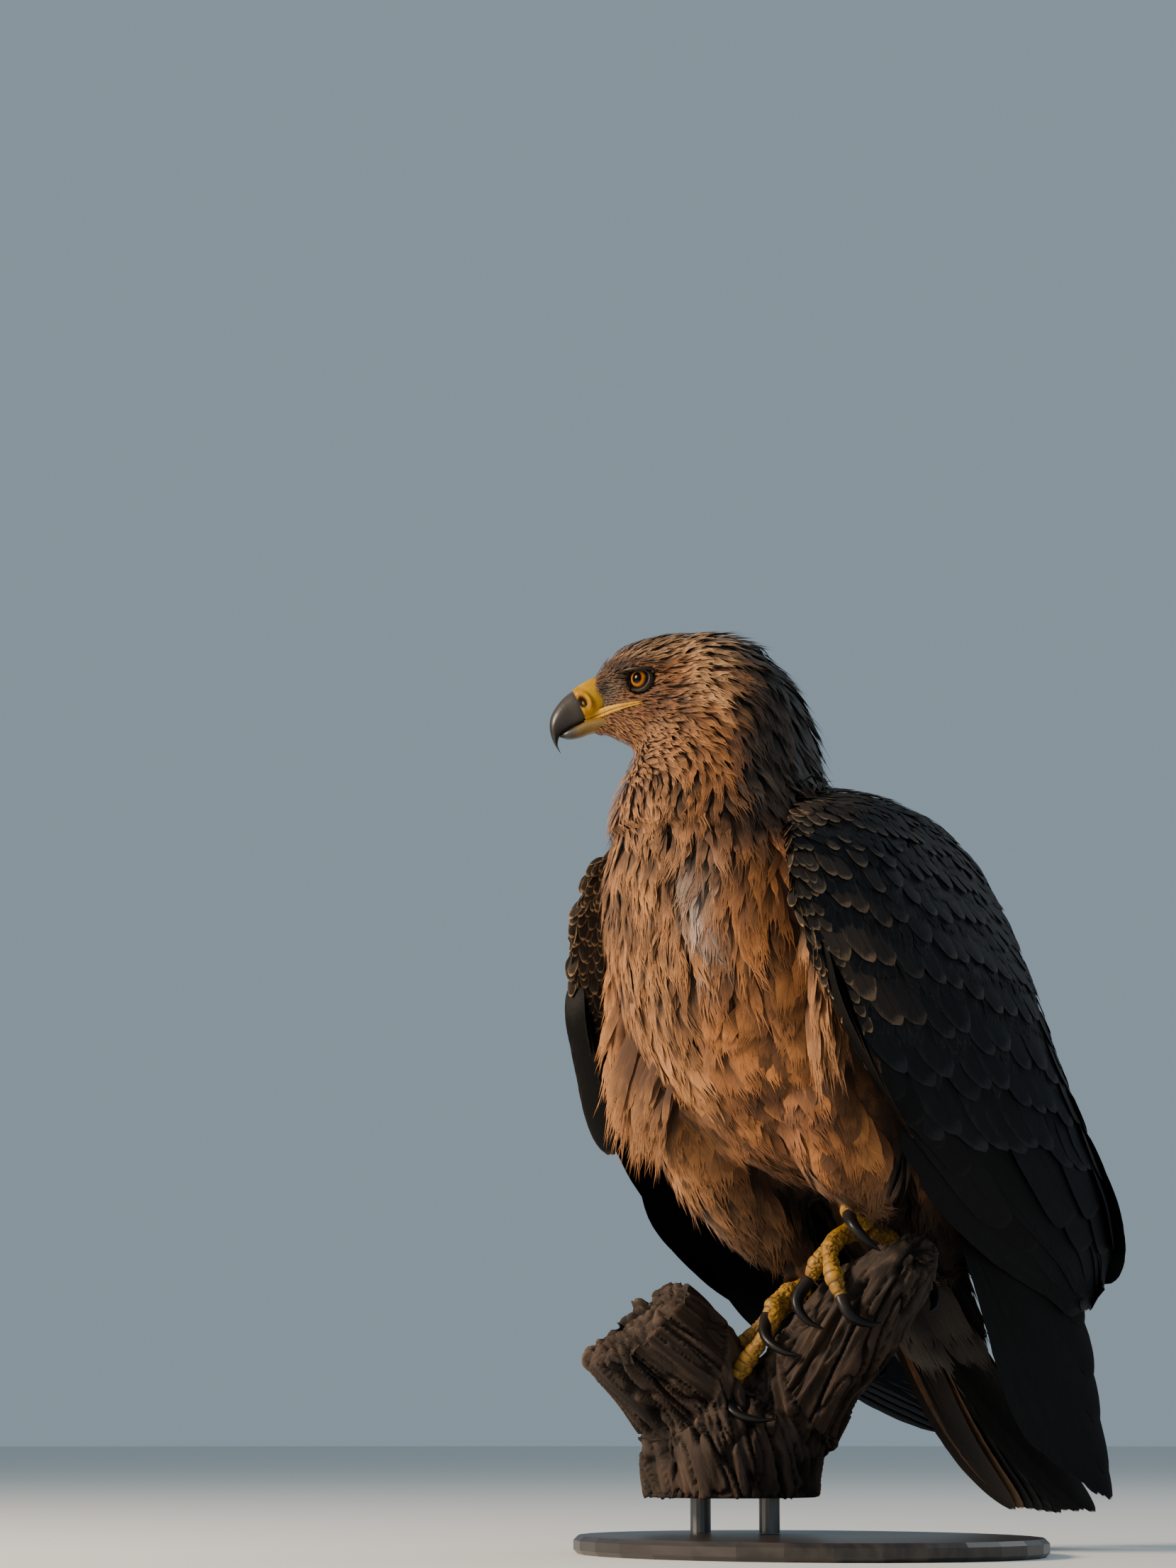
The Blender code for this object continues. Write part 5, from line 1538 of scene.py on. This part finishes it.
def wing_colours(kind, count, u, q, rng):
    """Tints and rims for one kind of wing feather, paler along the front edge high on the wing."""
    middle, rim = tiled(WING_COLOURS[kind], count)
    pale = ease(u, 0.26, 0.04) * ease(q, 0.56, 0.40)
    middle = mix(middle, paint(62, 51, 43), pale)
    rim = mix(rim, paint(132, 106, 80), pale)
    warm = ease(noise(np.stack([q * 9, u * 7, u * 0], axis=1), 31), 0.6, 0.8) * ease(q, 0.22, 0.10) * 0.5
    middle = mix(middle, paint(112, 76, 46), warm)
    light = rng.normal(1.0, 0.12, (count, 1))
    return middle * light, rim * rng.normal(1.0, 0.12, (count, 1))


def build_wings(settings):
    """Folded wings: quills, then coverts in rows up to the shoulder, scapulars behind and the front edge.

    Rows are laid on the wing's chart. Every feather starts under the row above it and ends over the
    row below; within a row each is rolled so that its rear neighbour lies over it.
    """
    finish = feather_finish("wing covert", 0.60, 1.2, 0.9, (0.80, 1.0), 0.5, 0.10)
    quill = feather_finish("flight feather", 0.50, 1.3, 0.8, (0.94, 1.0), 0.4, 0.08)
    for number, side in enumerate(SIDES):
        rng = np.random.default_rng(settings.seed + WING_SEED + number)
        chart = Chart(side)
        soft, stiff = [], []
        for tips, (start, end), count, lengths, width, lean, kind in COVERT_ROWS:
            u = np.linspace(start, end, count) + rng.normal(0, 0.006, count)
            share = (u - start) / (end - start)
            q = np.interp(share, (0, 0.5, 1), tips) + rng.normal(0, 0.011, count)
            length = np.interp(share, (0, 1), lengths) * rng.uniform(0.88, 1.10, count)
            if kind == "secondary":
                q = q + 0.024 * np.sin(np.arange(count) * 2.4)
            lay_row(chart, q, u, length, width, lean, kind, rng, stiff if kind == "secondary" else soft)
        for heights, span, length, width in EDGE_ROWS:
            q = chart.depth_of(np.array(heights))
            lay_row(chart, q, np.linspace(*span, len(q)), np.full(len(q), length), width, 0.03, "flight",
                    rng, stiff)
        edge_blades(chart, stiff, rng)
        q, u = (np.array(RIM_ROWS) + rng.normal(0, 0.003, (len(RIM_ROWS), 2))).T
        lay_row(chart, q, u, np.full(len(q), 0.020), 0.0052, 0.05, "rim", rng, soft)
        for u, tips in SCAPULAR_ROWS:
            q = np.array(tips)
            u = u + rng.normal(0, 0.01, len(q))
            lay_row(chart, q, u, np.full(len(q), 0.066), 0.0150, 0.10, "scapular", rng, soft)
        low_cover(chart, soft, rng)
        for *_, middle, edge in soft + stiff:
            middle *= settings.wing_light
            edge *= settings.wing_light
        add_feathers(f"wing_{side}_covert", soft, finish, tuple(wing_nodes(side, 2)))
        blade = Blade(f"wing_{side}_primaries", (chart.sign, 0.0, 0.0))
        ends = np.interp(np.linspace(-1, 1, PRIMARY_COUNT), *PRIMARY_ENDS)
        share = np.linspace(-0.62, 1.05, PRIMARY_COUNT) * chart.sign
        stiff.append(fan(blade, 0.0135, rng, share, ends, 0.0022))
        add_feathers(f"wing_{side}_quill", stiff, quill,
                     (f"wing_{side}_secondaries", f"wing_{side}_primaries"))


def lay_row(chart, q, u, length, width, lean, kind, rng, batches):
    """One row of feathers on the chart, put into its batches; scapular tips stand out a little."""
    cut = CUTS["flight" if kind in ("secondary", "flight") else "covert"]
    spots, outs = chart.spines(q, u, length, lean, (-0.0030, 0.0060 if kind == "scapular" else 0.0014))
    widths = width * rng.uniform(0.94, 1.06, len(q))
    made = vanes(cut, spots, outs, widths, rng, roll=0.10 * chart.sign)
    batches.append((made, spots[:, 0], *wing_colours(kind, len(q), u, q, rng)))


def edge_blades(chart, batches, rng):
    """Long narrow feathers that stand before the front edge, one over the other, facing forward."""
    t = np.linspace(0, 1, 9)
    heights, lengths, widths = np.array(EDGE_BLADES).T
    high = heights[:, None] + (1 - t) * lengths[:, None]
    column = chart.grid[:, 0]
    spots = read_between(-high, -column[:, 2], column)
    shift = np.array((0.005 - 0.005 * chart.sign, -0.0075 + 0.0045 * chart.sign, 0.0))
    spots = spots + shift * np.sin(t * 2.9)[:, None]
    spots = spots + np.array((0.0, -0.0014, 0.0)) * np.arange(len(high))[:, None, None]
    out = unit(np.array((-0.30 * chart.sign, -0.95, 0.0)))
    spots = spots - out * (0.006 * (1 - t) ** 3)[:, None]
    outs = np.broadcast_to(out, spots.shape)
    made = vanes(CUTS["flight"], spots, outs, widths, rng, roll=0.05 * chart.sign)
    batches.append((made, spots[:, 0], *tiled(WING_COLOURS["blade"], len(high))))


def lie_of_wing(points, outs):
    """Down and to the rear, wandering a little."""
    return along_surface(np.array((0.0, 0.34, -0.94)) + wander(points, 35, (13, 14, 15)) * 0.5, outs)


def low_cover(chart, batches, rng):
    """Small feathers over the wing's upper part, inside and front edge, under and before the rows.

    They are neat, rounded and pale along the front edge, dark outside and brown inside.
    """
    def before(points):
        """The inner side of the front edge."""
        _, out = chart.surface.nearest(points)
        level = (points[:, 2] > 0.335) & (points[:, 2] < 0.47)
        return level & (out[:, 1] < -0.3) & (out[:, 0] * chart.sign < 0.3)

    def wanted(points):
        """Outer and inner faces of the upper part."""
        _, out = chart.surface.nearest(points)
        return (points[:, 2] > 0.315) & ((np.abs(out[:, 0]) > 0.45) | (points[:, 2] > 0.465))

    rim = unit(np.gradient(chart.grid[:, 0], axis=0))
    roots = scatter(chart.surface, lambda p: np.full(len(p), RIM_GAP), before, rng)
    _, out = chart.surface.nearest(roots)
    along = read_between(-roots[:, 2], -chart.grid[:, 0, 2], rim)
    way = unit(along - out * (along * out).sum(axis=1, keepdims=True) + rng.normal(0, 0.05, roots.shape))
    length = rng.uniform(0.014, 0.019, len(roots))
    t = np.linspace(0, 1, COVER_STEPS)[:, None]
    spots = roots[:, None] + way[:, None] * length[:, None, None] * t
    spots = spots + out[:, None] * (-0.0022 + 0.0028 * t)
    made = vanes(CUTS["covert"], spots, np.broadcast_to(out[:, None], spots.shape), length * 0.25, rng)
    ones = np.ones(len(roots))
    batches.append((made, roots, *wing_colours("rim", len(roots), ones, ones, rng)))
    roots = scatter(chart.surface, lambda p: np.full(len(p), COVER_GAP), wanted, rng)
    _, out = chart.surface.nearest(roots)
    length = rng.uniform(0.016, 0.024, len(roots))
    turn = rng.normal(0, 0.10, len(roots))
    spots, outs = follow(chart.surface, roots, length, COVER_STEPS, lie_of_wing, turn)
    outs = unit(outs + 3 * outs.mean(axis=1, keepdims=True))
    spots = spots + outs * (-0.0024 + 0.0020 * np.linspace(0, 1, COVER_STEPS))[:, None]
    made = vanes(CUTS["body"], spots, outs, length * 0.26 * rng.uniform(0.85, 1.15, len(roots)), rng)
    inside = ease(out[:, 0] * chart.sign, 0.6, 0.0)
    colours = [mix(paint(*dark), paint(*brown), inside) * rng.normal(1.0, 0.12, (len(roots), 1))
               for dark, brown in zip(WING_COLOURS["lesser"], WING_COLOURS["inner"])]
    batches.append((made, roots, *colours))


class Blade:
    """Frame of a thin node such as a tail or wing tip: its middle line, half widths, and outward side."""

    def __init__(self, node, outward_hint):
        points, _ = joined_nodes((node,))
        centre = points.mean(axis=0)
        _, _, ways = np.linalg.svd(points - centre, full_matrices=False)
        along = ways[0] if ways[0][2] < 0 else -ways[0]
        self.wide = ways[1]
        out = np.cross(along, self.wide)
        if out @ np.array(outward_hint) < 0:
            self.wide, out = -self.wide, -out
        self.out = out
        run = (points - centre) @ along
        self.length = run.max() - run.min()
        place = (run - run.min()) / self.length
        across = (points - centre) @ self.wide
        stations = np.linspace(0.02, 0.98, 13)
        middles, halves = [], []
        for station in stations:
            near = np.abs(place - station) < 0.16
            side = across[near]
            middle = (side.min() + side.max()) / 2
            thick = ((points[near] - centre) @ out).mean()
            reach = run.min() + station * self.length
            middles.append(centre + along * reach + self.wide * middle + out * thick)
            halves.append((side.max() - side.min()) / 2)
        self.middle = [np.polyfit(stations, np.array(middles)[:, axis], 3) for axis in range(3)]
        self.half = np.polyfit(stations, halves, 3)

    def place(self, t, aside):
        """Middle line at t, moved aside by a share of the half width there."""
        middle = np.stack([np.polyval(line, t) for line in self.middle], axis=-1)
        return middle + self.wide * (aside * np.polyval(self.half, np.clip(t, 0, 1)))[..., None]


def fan(blade, width, rng, share, ends, stagger, root=0.30, arch=0.0, domed=False):
    """Long feathers fanned over a blade, each a little over the next; ends say how far each reaches.

    A feather's offset across the blade runs from root × its share at the base to its share at the
    tip. In a domed fan the middle feathers lie on top.
    """
    count = len(share)
    order = np.linspace(-1, 1, count)
    t = np.linspace(0, 1, 10)
    place = -0.04 + ((ends + rng.normal(0, 0.008, count))[:, None] + 0.04) * t
    aside = share[:, None] * (root + (1 - root) * ease(t, 0.0, 0.9))
    spots = blade.place(place, aside)
    height = stagger * (-np.abs(order) * 1.6 if domed else order)[:, None] - arch * aside ** 2
    spots = spots + blade.out * height[..., None]
    outs = np.broadcast_to(blade.out, spots.shape)
    widths = np.full(count, width) * rng.uniform(0.95, 1.05, count)
    made = vanes(CUTS["quill"], spots, outs, widths, rng, roll=0.06)
    middle, rim = tiled(WING_COLOURS["flight"], count)
    light = rng.normal(1.0, 0.15, (count, 1))
    return made, spots[:, 0], middle * light, rim * light


def build_tail():
    """Tail: twelve long feathers fanned and arched, then coverts over and under their roots."""
    rng = np.random.default_rng(TAIL_SEED)
    blade = Blade("tail", (0.0, 1.0, 0.4))
    share = np.linspace(-0.72, 0.72, TAIL_COUNT)
    ends = 1 - 0.07 * share ** 2
    quills = fan(blade, 0.0165, rng, share, ends, 0.0012, root=0.45, arch=0.006, domed=True)
    # The outermost feather on one side is a dark brown; the next is painted a warm brown that stands for
    # sunlight falling on it, painted light.
    outer = (0, 1) if quills[1][0, 0] < quills[1][-1, 0] else (-1, -2)
    quills[2][outer[0]], quills[3][outer[0]] = paint(22, 18, 15), paint(40, 30, 24)
    quills[2][outer[1]], quills[3][outer[1]] = paint(76, 54, 38), paint(112, 84, 60)
    covers, count = [], TAIL_COVERT_COUNT
    for reach, lift in TAIL_COVERTS:
        for row, end in enumerate(reach):
            share = np.linspace(-0.7, 0.7, count) + rng.normal(0, 0.04, count)
            t = np.linspace(0, 1, 8)
            tip = end - 0.06 * share ** 2 + rng.normal(0, 0.015, count)
            place = tip[:, None] - (1 - t) * (0.075 / blade.length)
            height = lift * (0.0035 + 0.003 * row) * (1 - 0.3 * t)
            spots = blade.place(place, np.broadcast_to(share[:, None] * (0.7 + 0.3 * t), place.shape))
            spots = spots + blade.out * height[..., None]
            made = vanes(CUTS["body"], spots, np.broadcast_to(blade.out * lift, spots.shape),
                         np.full(count, 0.0145), rng)
            covers.append((made, spots[:, 0], *tiled(((22, 18, 15), (38, 30, 24)), count)))
    finish = feather_finish("tail feather", 0.55, 1.3, 0.8, (0.6, 1.0), 0.5, 0.08)
    add_feathers("tail_quill", [quills], finish, ("tail",))
    finish = feather_finish("tail covert", 0.6, 1.1, 0.9, (0.4, 1.0), 0.3)
    add_feathers("tail_covert", covers, finish)


# ---------------------------------------------------------------------------------------------
# Stage


def build_stage(settings):
    """Pale floor disc, soft warm key from the bird's front right, cool fill, pale surround and camera."""
    turn = np.linspace(0, math.tau, 96, endpoint=False)
    rim = np.stack([np.cos(turn) * FLOOR_RADIUS, np.sin(turn) * FLOOR_RADIUS, np.zeros(96)], axis=1)
    mesh = bpy.data.meshes.new("floor")
    mesh.from_pydata(rim, [], [list(range(96))])
    mesh.materials.append(floor_finish(settings.floor_colour))
    floor = link("floor", mesh)
    surround = bpy.data.worlds.new("surround")
    surround.use_nodes = True
    back = surround.node_tree.nodes["Background"]
    back.inputs["Color"].default_value = (*settings.surround_colour, 1)
    back.inputs["Strength"].default_value = settings.surround_light
    bpy.context.scene.world = surround
    for name, place, aim, size, share, colour in (
            ("key", (-1.10, -2.25, 1.35), BODY_MIDDLE, 0.8, 1, settings.key_colour),
            ("fill", (2.4, -1.0, 1.6), BODY_MIDDLE, 2.2, 0.04, (0.82, 0.90, 1.0)),
            ("catch", (1.24, -1.94, 1.49), HEAD, 0.14, 0.02, (1.0, 0.97, 0.92)),
            ("back", (0.6, 2.6, 2.2), BODY_MIDDLE, 1.6, 0.14, (0.88, 0.94, 1.0))):
        light = bpy.data.lights.new(name, "AREA")
        light.size, light.energy, light.color = size, settings.key_power * share, colour
        aimed(name, light, place, aim)
    data = bpy.data.cameras.new("camera")
    data.sensor_width, data.lens = 36.0, settings.lens
    data.dof.use_dof = False
    bpy.context.scene.camera = aimed("camera", data, CAMERA_PLACE, CAMERA_AIM)


# ---------------------------------------------------------------------------------------------
# Add-on


def colour_property(name, description, colour):
    """Colour swatch with its default from 0 to 255 values."""
    return bpy.props.FloatVectorProperty(name=name, description=description, default=tuple(paint(*colour)),
                                         size=3, subtype="COLOR", min=0.0, max=1.0)


def size_property(name, description, size):
    """Length in metres."""
    return bpy.props.FloatProperty(name=name, description=description, default=size, min=size / 4,
                                   max=size * 4, precision=5, unit="LENGTH")


class EaglePlumageSettings(bpy.types.PropertyGroup):
    """Coat and wings."""

    seed: bpy.props.IntProperty(name="Seed", description="Changes where each feather grows", default=7, min=1)
    tawny: colour_property("Tawny", "Middle of the feathers of breast and neck", (112, 70, 36))
    tawny_rim: colour_property("Tawny rim", "Rim of the feathers of breast and neck", (162, 104, 54))
    mantle: colour_property("Mantle", "Middle of the feathers of the back", (40, 31, 25))
    down: colour_property("Down", "Patch of down on the breast", (122, 108, 98))
    wing_light: bpy.props.FloatProperty(name="Wing lightness", description="Multiplies the wings' colours",
                                        default=1.0, min=0.1, max=5.0)


class EagleBareSettings(bpy.types.PropertyGroup):
    """Eyes, bill, feet and branch."""

    eye_radius: size_property("Eye radius", "Radius of the eyeballs", 0.0094)
    iris: colour_property("Iris", "Brightest ring of the iris", (164, 98, 8))
    cere: colour_property("Cere", "Cere and gape", (184, 136, 0))
    toe: colour_property("Toes", "Skin of the toes", (168, 124, 36))
    toe_radius: size_property("Toe radius", "Half the thickness of the toes at the knuckle", TOE_RADIUS)
    bark: colour_property("Bark", "Palest part of the branch", (104, 86, 72))


class EagleStageSettings(bpy.types.PropertyGroup):
    """Floor, light and camera."""

    floor_colour: colour_property("Floor", "Colour of the floor", (226, 226, 224))
    surround_colour: colour_property("Surround", "Colour of the surround", (186, 208, 222))
    surround_light: bpy.props.FloatProperty(name="Surround light", description="Strength of the surround",
                                            default=0.50, min=0.0)
    key_power: bpy.props.FloatProperty(name="Key light", description="Power of the main light", default=140.0,
                                       min=0.0, unit="POWER")
    key_colour: colour_property("Key colour", "Colour of the main light", (255, 232, 204))
    lens: bpy.props.FloatProperty(name="Lens", description="Focal length", default=88.155, min=1.0,
                                  subtype="DISTANCE_CAMERA")


class EAGLE_OT_skin(bpy.types.Operator):
    """Skin of the whole bird"""

    bl_idname = "eagle.skin"
    bl_label = "Skin"

    def execute(self, context):
        """Builds it."""
        build_skin(context.scene.eagle_plumage)
        return {"FINISHED"}


class EAGLE_OT_coat(bpy.types.Operator):
    """Feathers of head, neck, body and legs"""

    bl_idname = "eagle.coat"
    bl_label = "Coat"

    def execute(self, context):
        """Builds them."""
        build_coat(context.scene.eagle_plumage)
        return {"FINISHED"}


class EAGLE_OT_wings(bpy.types.Operator):
    """Feathers of both folded wings"""

    bl_idname = "eagle.wings"
    bl_label = "Wings"

    def execute(self, context):
        """Builds them."""
        build_wings(context.scene.eagle_plumage)
        return {"FINISHED"}


class EAGLE_OT_tail(bpy.types.Operator):
    """Tail feathers and their coverts"""

    bl_idname = "eagle.tail"
    bl_label = "Tail"

    def execute(self, context):
        """Builds them."""
        build_tail()
        return {"FINISHED"}


class EAGLE_OT_eyes(bpy.types.Operator):
    """Eyes and lids"""

    bl_idname = "eagle.eyes"
    bl_label = "Eyes"

    def execute(self, context):
        """Builds them."""
        build_eyes(context.scene.eagle_bare)
        return {"FINISHED"}


class EAGLE_OT_bill(bpy.types.Operator):
    """Cere, bill and gape"""

    bl_idname = "eagle.bill"
    bl_label = "Bill"

    def execute(self, context):
        """Builds them."""
        build_bill(context.scene.eagle_bare)
        return {"FINISHED"}


class EAGLE_OT_feet(bpy.types.Operator):
    """Toes and claws"""

    bl_idname = "eagle.feet"
    bl_label = "Feet"

    def execute(self, context):
        """Builds them."""
        build_feet(context.scene.eagle_bare)
        return {"FINISHED"}


class EAGLE_OT_perch(bpy.types.Operator):
    """Branch, and the finishes of its stand"""

    bl_idname = "eagle.perch"
    bl_label = "Perch and stand"

    def execute(self, context):
        """Builds the branch and dresses the stand."""
        build_perch(context.scene.eagle_bare)
        base, rod = stand_finish(), rod_finish()
        for name, node in frame["nodes"].items():
            if name.startswith("stand_"):
                node.data.materials.clear()
                node.data.materials.append(base if name == "stand_base" else rod)
        return {"FINISHED"}


class EAGLE_OT_stage(bpy.types.Operator):
    """Floor, lights and camera"""

    bl_idname = "eagle.stage"
    bl_label = "Stage"

    def execute(self, context):
        """Builds them."""
        build_stage(context.scene.eagle_stage)
        return {"FINISHED"}


OPERATORS = (EAGLE_OT_skin, EAGLE_OT_coat, EAGLE_OT_wings, EAGLE_OT_tail, EAGLE_OT_eyes, EAGLE_OT_bill,
             EAGLE_OT_feet, EAGLE_OT_perch, EAGLE_OT_stage)


class EAGLE_PT_panel(bpy.types.Panel):
    """Sidebar panel that lists the settings and the pieces to build"""

    bl_label = "Perched Eagle"
    bl_idname = "EAGLE_PT_panel"
    bl_space_type = "VIEW_3D"
    bl_region_type = "UI"
    bl_category = "Eagle"

    def draw(self, context):
        """Settings, then one button for each operator."""
        for settings in (context.scene.eagle_plumage, context.scene.eagle_bare, context.scene.eagle_stage):
            for name in settings.bl_rna.properties.keys():
                if name not in ("rna_type", "name"):
                    self.layout.prop(settings, name)
        for operator in OPERATORS:
            self.layout.operator(operator.bl_idname)


CLASSES = (EaglePlumageSettings, EagleBareSettings, EagleStageSettings, *OPERATORS, EAGLE_PT_panel)


def register():
    """Adds the classes and their settings to Blender."""
    for kind in CLASSES:
        bpy.utils.register_class(kind)
    bpy.types.Scene.eagle_plumage = bpy.props.PointerProperty(type=EaglePlumageSettings)
    bpy.types.Scene.eagle_bare = bpy.props.PointerProperty(type=EagleBareSettings)
    bpy.types.Scene.eagle_stage = bpy.props.PointerProperty(type=EagleStageSettings)


def unregister():
    """Takes them out again."""
    del bpy.types.Scene.eagle_plumage, bpy.types.Scene.eagle_bare, bpy.types.Scene.eagle_stage
    for kind in reversed(CLASSES):
        bpy.utils.unregister_class(kind)


def main():
    """Builds every piece in order."""
    register()
    for operator in OPERATORS:
        group, name = operator.bl_idname.split(".")
        started = time.time()
        getattr(getattr(bpy.ops, group), name)()
        print(name, round(time.time() - started, 1), "s")


if __name__ == "__main__":
    main()
